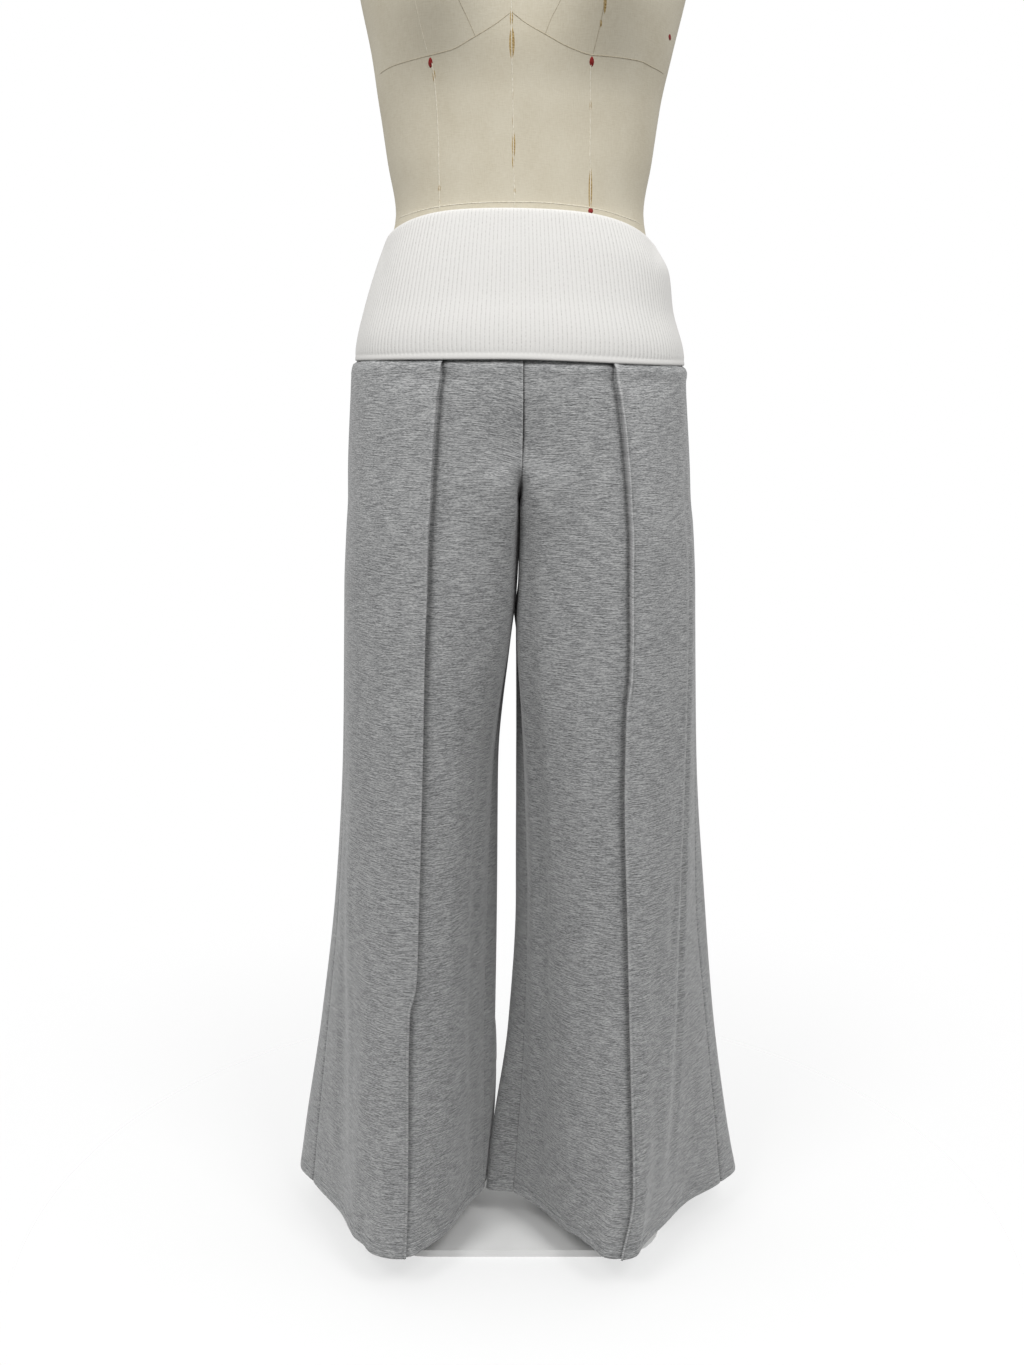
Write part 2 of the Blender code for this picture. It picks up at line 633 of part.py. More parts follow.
def main():
    for old in list(bpy.data.objects):
        bpy.data.objects.remove(old)
    parts = bpy.data.collections.new("lounge_pants")
    bpy.context.scene.collection.children.link(parts)

    grey = material("heather_knit", (0.27, 0.275, 0.28), 0.9, sheen=0.3)
    white = material("rib_knit", (0.84, 0.83, 0.80), 0.9, sheen=0.3)
    linen = material("form_linen", (0.60, 0.56, 0.46), 0.85)
    powder = material("stand_paint", (0.80, 0.80, 0.79), 0.45)

    leg_panels("left", LEFT_FRONT, LEFT_BACK, 1, grey, parts)
    leg_panels("right", RIGHT_FRONT, RIGHT_BACK, -1, grey, parts)
    ribbed_band(white, parts)
    dress_form(linen, parts)
    stand(powder, parts)


main()
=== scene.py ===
# %% [markdown]
# # Wide-leg lounge pants on a dress form
# The pants are five cut-and-sewn pieces: two fronts, two backs and a white ribbed waistband
# that is folded over. A dress form wears them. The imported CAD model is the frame: this
# script loads it and lays finely shaped cloth on the form of each of its solids.

# %% The frame
import math

import bpy
import numpy as np
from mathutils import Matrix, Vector


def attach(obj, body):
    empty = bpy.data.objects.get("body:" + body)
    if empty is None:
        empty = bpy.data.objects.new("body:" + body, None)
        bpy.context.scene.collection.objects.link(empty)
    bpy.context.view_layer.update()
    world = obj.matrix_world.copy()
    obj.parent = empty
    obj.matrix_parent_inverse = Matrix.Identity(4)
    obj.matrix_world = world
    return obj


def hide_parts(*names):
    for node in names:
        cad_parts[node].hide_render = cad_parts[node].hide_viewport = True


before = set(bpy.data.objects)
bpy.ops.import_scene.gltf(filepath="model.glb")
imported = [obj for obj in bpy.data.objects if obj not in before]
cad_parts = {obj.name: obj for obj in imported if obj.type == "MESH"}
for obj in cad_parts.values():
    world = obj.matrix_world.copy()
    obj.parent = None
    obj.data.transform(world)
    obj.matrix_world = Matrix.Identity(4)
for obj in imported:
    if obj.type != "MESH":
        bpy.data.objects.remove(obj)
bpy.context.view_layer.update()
MM = 0.001

# %% [markdown]
# ## Camera
# The photo is upright and taken from the front, from about a metre and a half away. The
# legs grow narrower downwards in it, so the camera looks down by some twelve degrees. The
# three numbers below were fitted to the outline of band, hips and hems.

# %% Camera
CAMERA_SPOT = (-0.0065, -1.450, 0.945)
CAMERA_TILT = 77.9  # degrees from straight down
LENS = 37.21

lens = bpy.data.cameras.new("camera")
lens.lens = LENS
lens.sensor_width = 36
camera = bpy.data.objects.new("camera", lens)
camera.location = CAMERA_SPOT
camera.rotation_euler = (math.radians(CAMERA_TILT), 0, 0)
bpy.context.scene.collection.objects.link(camera)
bpy.context.scene.camera = camera
bpy.context.scene.view_settings.view_transform = "Standard"
print("camera at", CAMERA_SPOT)

# %% [markdown]
# ## Node helpers
# Every finish below is a small tree of shader nodes. Writing each node as one call with its
# settings and sockets keeps the trees short and easy to read.

# %% Node helpers


def node(tree, kind, inputs=None, **settings):
    """Adds a node; inputs are values, or (node, socket) pairs to link from."""
    made = tree.nodes.new(kind)
    for name, value in settings.items():
        setattr(made, name, value)
    for name, value in (inputs or {}).items():
        if isinstance(value, tuple) and isinstance(value[0], bpy.types.Node):
            tree.links.new(value[0].outputs[value[1]], made.inputs[name])
        else:
            made.inputs[name].default_value = value
    return made


def worked_out(tree, operation, *values):
    """A sum, product or the like of values or sockets."""
    return node(tree, "ShaderNodeMath", dict(enumerate(values)), operation=operation), "Value"


def ranged(tree, value, low, high, low_from=0.0, high_from=1.0, **settings):
    """A value spread over another range."""
    ends = {"From Min": low_from, "From Max": high_from, "To Min": low, "To Max": high}
    return node(tree, "ShaderNodeMapRange", {"Value": value, **ends}, **settings), "Result"


def mixed(tree, a, b, share):
    """Mixes two grey values or fields."""
    inputs = {"Factor": share, "A": a, "B": b}
    return node(tree, "ShaderNodeMix", inputs, data_type="FLOAT"), "Result"


# %% [markdown]
# ## Studio
# A studio shot on white: broad soft light from all round, two soft lamps high in front that
# model the creases, and a pale floor. With a lamp on either side, both tucks throw their
# shadow to the middle, as they do in the photo. The sky is brighter to the eye than it is
# as a lamp, so that the ground stays white while the cloth keeps its shade.

# %% Studio
SKY_ABOVE, SKY_LEVEL, SKY_BELOW = 0.95, 0.47, 0.03  # as a lamp, by direction
SKY_DARKEST = -0.6  # from this far down the sky is at its darkest
SKY_SEEN = 1.0
SKY_SIDES = 1.1  # how much more light comes from either side than from the front
SKY_EVEN = 1 + 0.3 * SKY_SIDES  # keeps the light as a whole the same
LAMPS = {"left_key": (-1.10, -1.80, 2.7), "right_key": (1.10, -1.80, 2.7)}
LAMP_SIZE, LAMP_WATTS = 0.9, 31.5
LAMP_AIM = Vector((0, 0, 1.10))

world = bpy.data.worlds.new("studio")
world.use_nodes = True
bpy.context.scene.world = world
sky = world.node_tree
sky.nodes.clear()
towards = node(sky, "ShaderNodeSeparateXYZ", {"Vector": (node(sky, "ShaderNodeTexCoord"), "Generated")})
upper = ranged(sky, (towards, "Z"), SKY_LEVEL, SKY_ABOVE)
lower = ranged(sky, (towards, "Z"), SKY_BELOW, SKY_LEVEL, SKY_DARKEST, 0.0)
aside = worked_out(sky, "MULTIPLY", (towards, "X"), (towards, "X"))
aside = ranged(sky, aside, 1 / SKY_EVEN, (1 + SKY_SIDES) / SKY_EVEN)
as_lamp = worked_out(sky, "DIVIDE", worked_out(sky, "MULTIPLY", upper, lower), SKY_LEVEL)
as_lamp = worked_out(sky, "MULTIPLY", as_lamp, aside)
seen = mixed(sky, as_lamp, SKY_SEEN, (node(sky, "ShaderNodeLightPath"), "Is Camera Ray"))
glow = node(sky, "ShaderNodeBackground", {"Color": (1, 1, 1, 1), "Strength": seen})
node(sky, "ShaderNodeOutputWorld", {"Surface": (glow, "Background")})

for lamp_name, place in LAMPS.items():
    lamp = bpy.data.lights.new(lamp_name, "AREA")
    lamp.size = LAMP_SIZE
    lamp.energy = LAMP_WATTS
    stand_in = bpy.data.objects.new(lamp_name, lamp)
    stand_in.location = place
    stand_in.rotation_euler = (LAMP_AIM - Vector(place)).to_track_quat("-Z", "Y").to_euler()
    bpy.context.scene.collection.objects.link(stand_in)

# %% [markdown]
# ### Floor
# The photo's ground is pure white, yet the hems need a soft shadow to stand on. A plain
# sheet would show its edge against the sky, so the floor is a disc whose paint turns clear
# from the object outwards.

# %% Floor
FLOOR_REACH, FLOOR_CORNERS = 1.3, 64
FLOOR_NEAR, FLOOR_FAR = 0.30, 1.05  # the floor fades into the white studio between these
FLOOR_SHARE = 0.36  # of the floor that shows close to the object

floor_finish = bpy.data.materials.new("pale_floor")
floor_finish.use_nodes = True
tree = floor_finish.node_tree
tree.nodes.clear()
where = node(tree, "ShaderNodeTexCoord")
away = node(tree, "ShaderNodeVectorMath", {0: (where, "Object")}, operation="LENGTH")
share = ranged(
    tree, (away, "Value"), 1 - FLOOR_SHARE, 1.0, FLOOR_NEAR, FLOOR_FAR, interpolation_type="SMOOTHSTEP"
)
matt = node(tree, "ShaderNodeBsdfDiffuse", {"Color": (0.93, 0.93, 0.93, 1)})
clear = node(tree, "ShaderNodeBsdfTransparent")
both = node(tree, "ShaderNodeMixShader", {0: share, 1: (matt, "BSDF"), 2: (clear, "BSDF")})
node(tree, "ShaderNodeOutputMaterial", {"Surface": (both, "Shader")})

ground = bpy.data.meshes.new("floor")
rim = [
    (FLOOR_REACH * math.cos(a), FLOOR_REACH * math.sin(a), 0.0)
    for a in np.linspace(0, 2 * math.pi, FLOOR_CORNERS, endpoint=False)
]
ground.from_pydata(rim, [], [tuple(range(FLOOR_CORNERS))])
ground.materials.append(floor_finish)
floor = bpy.data.objects.new("floor", ground)
bpy.context.scene.collection.objects.link(floor)
print("studio:", len(LAMPS), "lamps")

# %% [markdown]
# ## Heather knit
# The grey is a heather: dark and light fibres are spun together, so the cloth shows short
# level streaks, a few millimetres long and one course high, and no two alike. The finish
# reads a named attribute with the place on the cloth, in metres along the course and up
# the leg. That keeps the streaks at one size and level on every panel. Its third number
# marks where a painted highlight lies: a lighter line along pressed folds and a seam edge.

# %% Heather knit
STREAK_TURN = 0.6  # turns the noise's own lattice, so that streaks never end in one upright line
HEATHER_SHADES = (
    (0.35, (0.115, 0.117, 0.119)), (0.435, (0.199, 0.202, 0.204)), (0.50, (0.283, 0.286, 0.287)),
    (0.565, (0.372, 0.375, 0.374)), (0.65, (0.500, 0.502, 0.499)),
)
LONG_SHARE, FUZZ_SHARE, CLOUDY_SHARE = 0.52, 0.14, 0.04
PAINTED_EDGE_HIGHLIGHT = 0.085  # painted highlight along a pressed fold and a seam edge


def noise(tree, place, across, up, detail=1.0, turn=STREAK_TURN):
    """Streaks on the cloth, of this size across and up, in millimetres."""
    scaled = node(tree, "ShaderNodeMapping", {
        "Vector": place, "Scale": (1000 / across, 1000 / up, 1.0), "Rotation": (0.0, 0.0, turn),
    })
    inputs = {"Vector": (scaled, "Vector"), "Scale": 1.0, "Detail": detail}
    return node(tree, "ShaderNodeTexNoise", inputs, noise_dimensions="2D"), "Fac"


def cloth_place(tree):
    """The named place on the cloth."""
    return node(tree, "ShaderNodeAttribute", attribute_name="cloth"), "Vector"


def finish_of(name, roughness, sheen=0.0):
    """A new material with its shader, ready for colour and bump."""
    made = bpy.data.materials.new(name)
    made.use_nodes = True
    shader = made.node_tree.nodes["Principled BSDF"]
    looks = {"Roughness": roughness, "Specular IOR Level": 0.25}
    for socket, value in {**looks, "Sheen Weight": sheen, "Sheen Roughness": 0.5}.items():
        shader.inputs[socket].default_value = value
    return made, made.node_tree, shader


def coloured(tree, shader, source, stops):
    """Colours a finish by a grey field, through a ramp with these stops."""
    made = node(tree, "ShaderNodeValToRGB", {"Fac": source})
    steps = made.color_ramp.elements
    while len(steps) < len(stops):
        steps.new(0.5)
    for step, (place, colour) in zip(steps, stops):
        step.position = place
        step.color = (*colour, 1.0)
    tree.links.new(made.outputs["Color"], shader.inputs["Base Color"])


def bumped(tree, shader, source, distance, strength=1.0):
    """Raises a finish by a grey field, by this distance in metres."""
    lift = node(tree, "ShaderNodeBump", {"Height": source, "Distance": distance, "Strength": strength})
    tree.links.new(lift.outputs["Normal"], shader.inputs["Normal"])


heather, tree, shader = finish_of("heather_knit", 0.92, sheen=0.4)
place = cloth_place(tree)
short = noise(tree, place, 3.2, 0.62)
long = noise(tree, place, 15.0, 0.85, turn=-STREAK_TURN)
fuzz = noise(tree, place, 1.3, 0.7)
cloudy = noise(tree, place, 60.0, 45.0)
grain = mixed(tree, mixed(tree, short, long, LONG_SHARE), fuzz, FUZZ_SHARE)
tone = mixed(tree, grain, cloudy, CLOUDY_SHARE)
# A painted highlight: the third number lightens the colour along pressed folds and a seam edge.
highlight_mask = node(tree, "ShaderNodeSeparateXYZ", {"Vector": place}), "Z"
highlighted_tone = worked_out(tree, "MULTIPLY_ADD", highlight_mask, PAINTED_EDGE_HIGHLIGHT, tone)
coloured(tree, shader, highlighted_tone, HEATHER_SHADES)
bumped(tree, shader, grain, 0.0007, 0.55)
print("heather shades:", len(HEATHER_SHADES))

# %% [markdown]
# ## Section tables
# Each leg is a loft through level sections. These are the same key points, in
# millimetres, that the solids were made from: from the inseam round the front to the side
# seam, and from there round the back. Cloth laid on them sits where the CAD says.

# %% Section tables
LEFT_FRONT = (  # height; seam, corner, inner, crease, flank, edge, side
    (985, (4.15, -112), (30, -111), (60, -107), (88, -98), (118, -82), (145, -54), (158, -8)),
    (964, (4.15, -113), (30, -112), (60, -108), (89, -100), (119, -85), (146, -58), (161, -8)),
    (948, (4.15, -115), (30, -115), (61, -112), (91, -104), (124, -86), (153, -58), (167, -9)),
    (930, (4.15, -116), (30, -116), (62, -114), (94, -108), (128, -90), (156, -58), (168, -10)),
    (860, (3.15, -108), (13, -112), (62, -115), (102, -114), (136, -96), (160, -60), (173, -12)),
    (825, (1.5, 10), (8, -105), (61, -114), (104, -117), (138, -99), (162, -61), (175, -12)),
    (800, (1.8, 4), (7, -98), (60, -113), (106, -119), (140, -101), (165, -62), (178, -12)),
    (740, (1.5, -2), (6, -88), (60, -112), (107, -121), (141, -103), (168, -65), (182, -12)),
    (700, (-1, -6), (5, -84), (60, -112), (108, -122), (141, -105), (169, -66), (183, -12)),
    (550, (5, -24), (15, -72), (62, -111), (107, -125), (141, -108), (170, -68), (187, -12)),
    (400, (9, -30), (20, -66), (62, -106), (111, -127), (143, -108), (172, -60), (193, -8)),
    (250, (6, -26), (21, -58), (60, -100), (116, -129), (146, -104), (180, -50), (209, -4)),
    (120, (-1, -15), (20, -46), (60, -96), (120, -131), (150, -94), (187, -38), (225, 4)),
    (45, (-6, -9), (20, -34), (58, -90), (108, -134), (149, -86), (191, -27), (234, 12)),
)
RIGHT_FRONT = (
    (985, (3.85, -112), (-22, -111), (-46, -109), (-69, -104), (-108, -88), (-142, -58), (-158, -8)),
    (964, (3.85, -113), (-22, -113), (-46, -110), (-71, -106), (-110, -90), (-144, -61), (-161, -8)),
    (948, (3.85, -115), (-23, -116), (-48, -114), (-73, -109), (-115, -94), (-151, -62), (-167, -9)),
    (930, (3.85, -116), (-24, -117), (-50, -116), (-76, -113), (-119, -97), (-154, -61), (-168, -10)),
    (860, (2.85, -108), (-10, -112), (-52, -116), (-82, -117), (-128, -100), (-158, -62), (-172, -12)),
    (825, (1.2, 10), (-8, -105), (-52, -115), (-84, -119), (-131, -102), (-160, -63), (-173, -12)),
    (800, (0.6, 4), (-9, -98), (-52, -114), (-86, -120), (-133, -103), (-162, -64), (-175, -12)),
    (740, (-1.5, -2), (-12, -86), (-53, -111), (-88, -121), (-134, -105), (-166, -65), (-179, -12)),
    (700, (-6, -6), (-15, -80), (-54, -108), (-90, -122), (-136, -106), (-167, -66), (-180, -12)),
    (550, (-26, -20), (-36, -62), (-62, -99), (-95, -124), (-138, -108), (-171, -66), (-184, -10)),
    (400, (-33, -26), (-44, -60), (-68, -98), (-101, -127), (-146, -111), (-180, -60), (-194, -8)),
    (250, (-37, -26), (-48, -58), (-72, -98), (-112, -129), (-153, -115), (-184, -58), (-211, -4)),
    (120, (-38, -14), (-49, -40), (-76, -94), (-115, -130), (-158, -118), (-192, -52), (-227, 4)),
    (45, (-40, -5), (-52, -26), (-80, -92), (-118, -132), (-160, -120), (-197, -48), (-236, 14)),
)
LEFT_BACK = (  # height; outermost, flank, crest, turn, innermost
    (985, (158, 18), (142, 60), (93, 98), (50, 111), (22, 114)),
    (964, (160, 18), (144, 62), (94, 101), (50, 113), (22, 116)),
    (948, (167, 19), (150, 63), (95, 105), (50, 116), (22, 119)),
    (930, (169, 20), (155, 66), (98, 108), (50, 119), (24, 122)),
    (860, (174, 20), (161, 68), (104, 112), (48, 118), (22, 112)),
    (825, (176, 20), (163, 69), (105, 113), (37, 110), (9, 64)),
    (800, (179, 20), (164, 70), (106, 113), (31, 105), (5, 42)),
    (740, (182, 20), (166, 70), (107, 113), (27, 96), (4, 28)),
    (700, (184, 20), (168, 70), (107, 114), (26, 92), (-2, 15)),
    (550, (191, 22), (172, 72), (108, 117), (30, 86), (-2, 8)),
    (400, (204.5, 24), (181, 74), (110, 121), (34, 84), (-2, 5)),
    (250, (219.5, 30), (194, 78), (115, 120), (41, 78), (-11, 0)),
    (120, (239, 37), (204, 82), (126, 120), (46, 74), (-29, -2)),
    (45, (254, 44), (214, 84), (130, 122), (48, 72), (-36, -1)),
)
RIGHT_BACK = (
    (985, (-158, 18), (-142, 60), (-93, 98), (-50, 111), (-22, 114)),
    (964, (-160, 18), (-144, 62), (-94, 101), (-50, 113), (-22, 116)),
    (948, (-167, 19), (-150, 63), (-95, 105), (-50, 116), (-22, 119)),
    (930, (-169, 20), (-155, 66), (-98, 108), (-50, 119), (-20, 122)),
    (860, (-173, 20), (-161, 68), (-104, 112), (-47, 118), (-19, 112)),
    (825, (-174, 20), (-163, 69), (-105, 114), (-38, 110), (-7, 64)),
    (800, (-176, 20), (-164, 70), (-106, 114), (-32, 105), (-4, 42)),
    (740, (-179, 20), (-165, 71), (-107, 116), (-30, 98), (-5, 28)),
    (700, (-181, 20), (-166, 72), (-108, 118), (-32, 94), (-7, 15)),
    (550, (-188, 22), (-172, 76), (-112, 124), (-46, 92), (-21, 8)),
    (400, (-200, 24), (-183, 80), (-118, 130), (-54, 92), (-23, 4)),
    (250, (-220, 31), (-200, 88), (-130, 138), (-60, 94), (-25, 0)),
    (120, (-242, 40), (-220, 98), (-142, 145), (-66, 98), (-32, -1)),
    (45, (-254, 48), (-232, 108), (-150, 154), (-70, 108), (-38, 2)),
)
print("section heights:", len(LEFT_FRONT))

# %% [markdown]
# ### Reading the tables
# Between two heights the cloth neither waves nor kinks. Straight lines would kink and a
# free spline would swing past the numbers, so each is read along a curve that stays
# between its two neighbours.

# %% Smooth tables


def smooth(xs, ys, x):
    """A table read at many places x, along a smooth line that never overshoots."""
    xs, ys = np.asarray(xs, float), np.asarray(ys, float)
    if xs[0] > xs[-1]:
        xs, ys = xs[::-1], ys[::-1]
    rest = ys.shape[1:]
    ys = ys.reshape(len(xs), -1)
    step = np.diff(xs)[:, None]
    slope = np.diff(ys, axis=0) / step
    a, b = slope[:-1], slope[1:]
    same = a * b > 0
    middle = np.where(same, 2 * a * b / np.where(same, a + b, 1.0), 0.0)
    tangent = np.concatenate([slope[:1], middle, slope[-1:]])
    x = np.clip(np.atleast_1d(np.asarray(x, float)), xs[0], xs[-1])
    k = np.clip(np.searchsorted(xs, x, side="right") - 1, 0, len(xs) - 2)
    h = step[k]
    t = (x - xs[k])[:, None] / h
    made = (
        (1 + 2 * t) * (1 - t) ** 2 * ys[k] + t * (1 - t) ** 2 * h * tangent[k]
        + t * t * (3 - 2 * t) * ys[k + 1] + t * t * (t - 1) * h * tangent[k + 1]
    )
    return made.reshape(len(x), *rest)


def rise(values, low, high):
    """0 below low, 1 above high, and a soft step between."""
    t = np.clip((values - low) / (high - low), 0.0, 1.0)
    return t * t * (3 - 2 * t)


def read(table, heights):
    """A table in millimetres, its first column the height, read in metres at each height."""
    rows = np.array([row[0] for row in table]) * MM
    return smooth(rows, np.array([row[1:] for row in table]) * MM, heights)


def points_of(*parts):
    """Points, or places on the cloth, from their three parts."""
    return np.stack(np.broadcast_arrays(*parts), axis=-1)


# %% [markdown]
# ## Rows
# A row of points runs round the leg at each height. They stand close together at the hem,
# where the twin stitching lies, and where the rise curves round to the crotch. Between
# these a row every six millimetres is enough for soft folds.

# %% Rows
HEM, TOP = 0.045, 0.985
HEM_STITCHING = (0.0550, 0.0605)  # heights of the two rows of stitches
HEM_ROW, LEG_ROW, HIP_ROW = 0.0005, 0.006, 0.004  # how far apart the rows stand
CLOSEST = 0.00025
CROTCH, CROTCH_DEPTH = 0.825, 0.010
FRONT_TURN, BACK_TURN = 0.875, 0.900  # where the rise starts to curve in

quarter = np.sin(np.linspace(0, math.pi / 2, 15))
heights = np.concatenate([
    (HEM, HEM + 0.0003, HEM + 0.0011, HEM + 0.0024),
    np.arange(0.0485, 0.0645, HEM_ROW),
    np.arange(0.067, CROTCH - 0.003, LEG_ROW),
    FRONT_TURN - (FRONT_TURN - CROTCH) * quarter,
    BACK_TURN - (BACK_TURN - CROTCH) * quarter,
    np.arange(BACK_TURN + HIP_ROW, 0.960, HIP_ROW),
    (0.9605, 0.9625, 0.965, 0.970, 0.977, TOP),
])
heights = np.unique(np.round(heights, 5))
heights = heights[np.concatenate([[True], np.diff(heights) > CLOSEST])]
print("rows:", len(heights))

# %% [markdown]
# ## Outline of a leg at each row
# The key points are joined by a curve that passes through each of them and is paced by
# distance, so it neither loops nor bulges. It is walked in small steps, which gives its
# length: places on the cloth can then be given in real millimetres from a seam or crease.

# %% Outline of a leg
SEAM_CLOSER = 0.0001  # each leg's centre seam moves this much nearer to the other's
LEG_PARTS = (0.800, 0.825)  # from inseam, below, to centre seam, above
SEAM_FLAT = (0.885, 0.915)  # above this the cloth runs straight across the centre seam


def leg_keys(front_table, back_table):
    """Key points round one leg at each row, with one more before and after the seam."""
    front, back = read(front_table, heights), read(back_table, heights)
    in_rise = heights >= CROTCH
    ends = []
    for flat, turn in ((front[:, 1, 1], FRONT_TURN), (back[:, -1, 1] + MM, BACK_TURN)):
        sine = np.clip((turn - heights) / (turn - CROTCH), 0, 1)
        end = front[:, 0].copy()
        end[:, 0] -= math.copysign(SEAM_CLOSER, front[-1, 1, 0])
        end[in_rise, 1] = (CROTCH_DEPTH + (flat - CROTCH_DEPTH) * np.sqrt(1 - sine ** 2))[in_rise]
        ends.append(end)
    first, last = ends
    centre = rise(heights, *LEG_PARTS)[:, None]
    straight = rise(heights, *SEAM_FLAT)[:, None]

    def beyond(end, neighbour, across):
        middle = end + (end - neighbour) * 0.5
        mirrored = np.stack([2 * end[:, 0] - neighbour[:, 0], neighbour[:, 1]], axis=1)
        found = across + (middle - across) * centre
        return found + (mirrored - found) * straight

    before = beyond(first, front[:, 1], back[:, -1])
    after = beyond(last, back[:, -1], front[:, 1])
    ends = [points[:, None] for points in (before, first, last, after)]
    return np.concatenate([*ends[:2], front[:, 1:], back, *ends[2:]], axis=1)


STEPS = 40  # between two key points


def walked(keys):
    """The curve through keys 1 .. n-2: points, running direction and length so far."""
    t = np.linspace(0, 1, STEPS, endpoint=False)[None, :, None]
    parts = []
    for k in range(keys.shape[1] - 3):
        a, b, c, d = (keys[:, k + i, None, :] for i in range(4))

        def gap(p, q):
            return np.maximum(np.linalg.norm(q - p, axis=-1, keepdims=True), 1e-9) ** 0.5

        k1 = gap(a, b)
        k2 = k1 + gap(b, c)
        k3 = k2 + gap(c, d)
        u = k1 + (k2 - k1) * t
        ab, bc = a + (b - a) * u / k1, b + (c - b) * (u - k1) / (k2 - k1)
        cd = c + (d - c) * (u - k2) / (k3 - k2)
        abc, bcd = ab + (bc - ab) * u / k2, bc + (cd - bc) * (u - k1) / (k3 - k1)
        parts.append(abc + (bcd - abc) * (u - k1) / (k2 - k1))
    points = np.concatenate([*parts, keys[:, -2, None, :]], axis=1)
    run = np.gradient(points, axis=1)
    run /= np.linalg.norm(run, axis=2, keepdims=True)
    length = np.zeros(points.shape[:2])
    length[:, 1:] = np.cumsum(np.linalg.norm(np.diff(points, axis=1), axis=2), axis=1)
    return points, run, length


def at_lengths(walk, lengths):
    """Points and running directions of each row at the given lengths."""
    points, run, length = walk
    found = np.empty((*lengths.shape, 2))
    ways = np.empty_like(found)
    for row in range(len(length)):
        for axis in (0, 1):
            found[row, :, axis] = np.interp(lengths[row], length[row], points[row, :, axis])
            ways[row, :, axis] = np.interp(lengths[row], length[row], run[row, :, axis])
    return found, ways / np.linalg.norm(ways, axis=2, keepdims=True)


# %% [markdown]
# ## Stitched tucks
# Down each front runs a tuck: the cloth is pinched up, stitched a few millimetres from the
# fold and left to fall over to the middle. On one leg it lies over all the way, on the
# other it stands up between hip and knee. It is modelled as a true flap with an open
# underside, so that it throws the hard little shadow of the real one.

# %% Stitched tucks
TUCKS = {  # height; stitching and fold, across from the crease; how far it stands up
    "left": (
        (985, 4.7, -1.8, 0.8), (965, 4.7, -1.8, 0.8), (959, 4.7, -1.8, 3.4), (950, 4.5, -1.6, 4.2),
        (930, 3.5, -0.6, 4.2), (905, 1.9, 0.2, 4.1), (880, 1.5, 0.2, 3.8), (840, 2.0, 0.8, 3.5),
        (740, 1.3, 0.2, 3.3), (665, 1.2, -0.1, 3.2), (648, 1.2, -1.7, 3.1), (632, 1.2, -3.4, 3.0),
        (570, 1.2, -3.5, 3.0), (500, 1.4, -2.8, 2.8), (400, 1.4, -2.1, 2.6), (300, 1.3, -1.8, 2.4),
        (200, 1.2, -1.4, 2.3), (100, 1.3, -1.1, 2.0), (45, 1.5, -0.9, 1.5),
    ),
    "right": (
        (985, 5.5, -0.4, 0.8), (965, 5.5, -0.4, 0.8), (959, 5.5, -0.4, 3.0), (940, 5.0, -0.4, 3.8),
        (880, 4.0, -0.4, 3.4), (740, 3.2, -0.4, 2.9), (600, 3.0, -0.4, 2.7), (420, 3.0, -0.3, 2.5),
        (355, 2.0, -1.5, 2.5), (340, 1.8, -0.8, 2.5), (322, 4.6, 2.2, 2.5), (290, 4.0, 1.3, 2.4),
        (250, 3.0, 0.2, 2.3), (200, 2.6, -0.2, 2.1), (120, 2.4, -0.2, 1.9), (45, 2.0, -0.2, 1.4),
    ),
}
TUCK_GROOVE = 0.8  # the stitching sinks in by this much
LEAST_WIDE, LEAST_CREST, CREST = 2.4, 1.7, 0.55  # of the flap, and how far across its crest lies
TUCK_STEP = (  # height; how far the cloth lies lower inside the left tuck and the right one
    (985, 1.0, 1.0), (965, 2.0, 2.4), (950, 5.0, 5.8), (900, 7.4, 8.4), (800, 8.4, 10.0),
    (600, 8.4, 9.8), (400, 8.0, 8.4), (200, 5.6, 6.0), (100, 3.2, 3.4), (45, 1.4, 1.4),
)
STEP_REACH, STEP_END = 0.013, 0.003  # the lower cloth: how wide, and how far past the fold
TUCK_BASE = 5  # the first lines lie on the cloth below the flap
FLAP_LINES = range(3, 9)  # these lines of the tuck lie under its fold
FOLD_LINE = 9
FOLDED_LINES = 14  # inside, where the flap is plain double cloth


def tuck_lines(side, crease):
    """Lengths and lifts of the tuck's eighteen lines, the lengths inside, and the fold's."""
    stitch, fold, tall = read(TUCKS[side], heights).T / MM
    lean = stitch - fold
    stop = fold + np.maximum(LEAST_WIDE, lean)
    crest = fold + np.maximum(LEAST_CREST, CREST * lean)
    lines = (  # how far across and how high, in millimetres: cloth, flap from below, crest, cloth
        (fold - 6, -0.1), (fold - 2.5, -0.7), (fold - 0.9, -0.9),
        (stitch - 0.5 * lean, -1.0), (stitch - 0.12 * lean, -0.9),
        (stitch - 0.12 * lean, 0.10 * tall), (stitch - 0.5 * lean, 0.22 * tall),
        (stitch - 0.85 * lean, 0.32 * tall), (fold - 0.05, 0.46 * tall),
        (fold - 0.15, 0.66 * tall), (fold + 0.30, 0.93 * tall), (fold + 1.0, tall),
        (crest, 0.92 * tall), (stop, 0.56 * tall - TUCK_GROOVE), (stop + 1.1, 0.36 * tall),
        (stop + 2.8, 0.14 * tall), (stop + 6, 0.04 * tall), (stop + 10, 0.0),
    )
    outer = crease[:, None] + np.stack([across for across, _ in lines], axis=1) * MM
    lift = np.stack([high + 0.0 * fold for _, high in lines], axis=1) * MM
    across = outer[:, [0, 1, 16, 17]]
    low, high = outer[:, 2:3], outer[:, 15:16]
    folded = low + (high - low) * np.linspace(0, 1, FOLDED_LINES)[None, :]
    inside = np.concatenate([across[:, :2], folded, across[:, 2:]], axis=1)
    return outer, lift, inside, crease + fold * MM


def tuck_step(side, past_fold):
    """How much lower the cloth lies on the inner side of the tuck's fold."""
    left, right = np.split(read(TUCK_STEP, heights), 2, axis=1)
    before = np.exp(np.minimum(past_fold, 0.0) / STEP_REACH)
    return -(left if side == "left" else right) * before * (1 - rise(past_fold, 0.0, STEP_END))
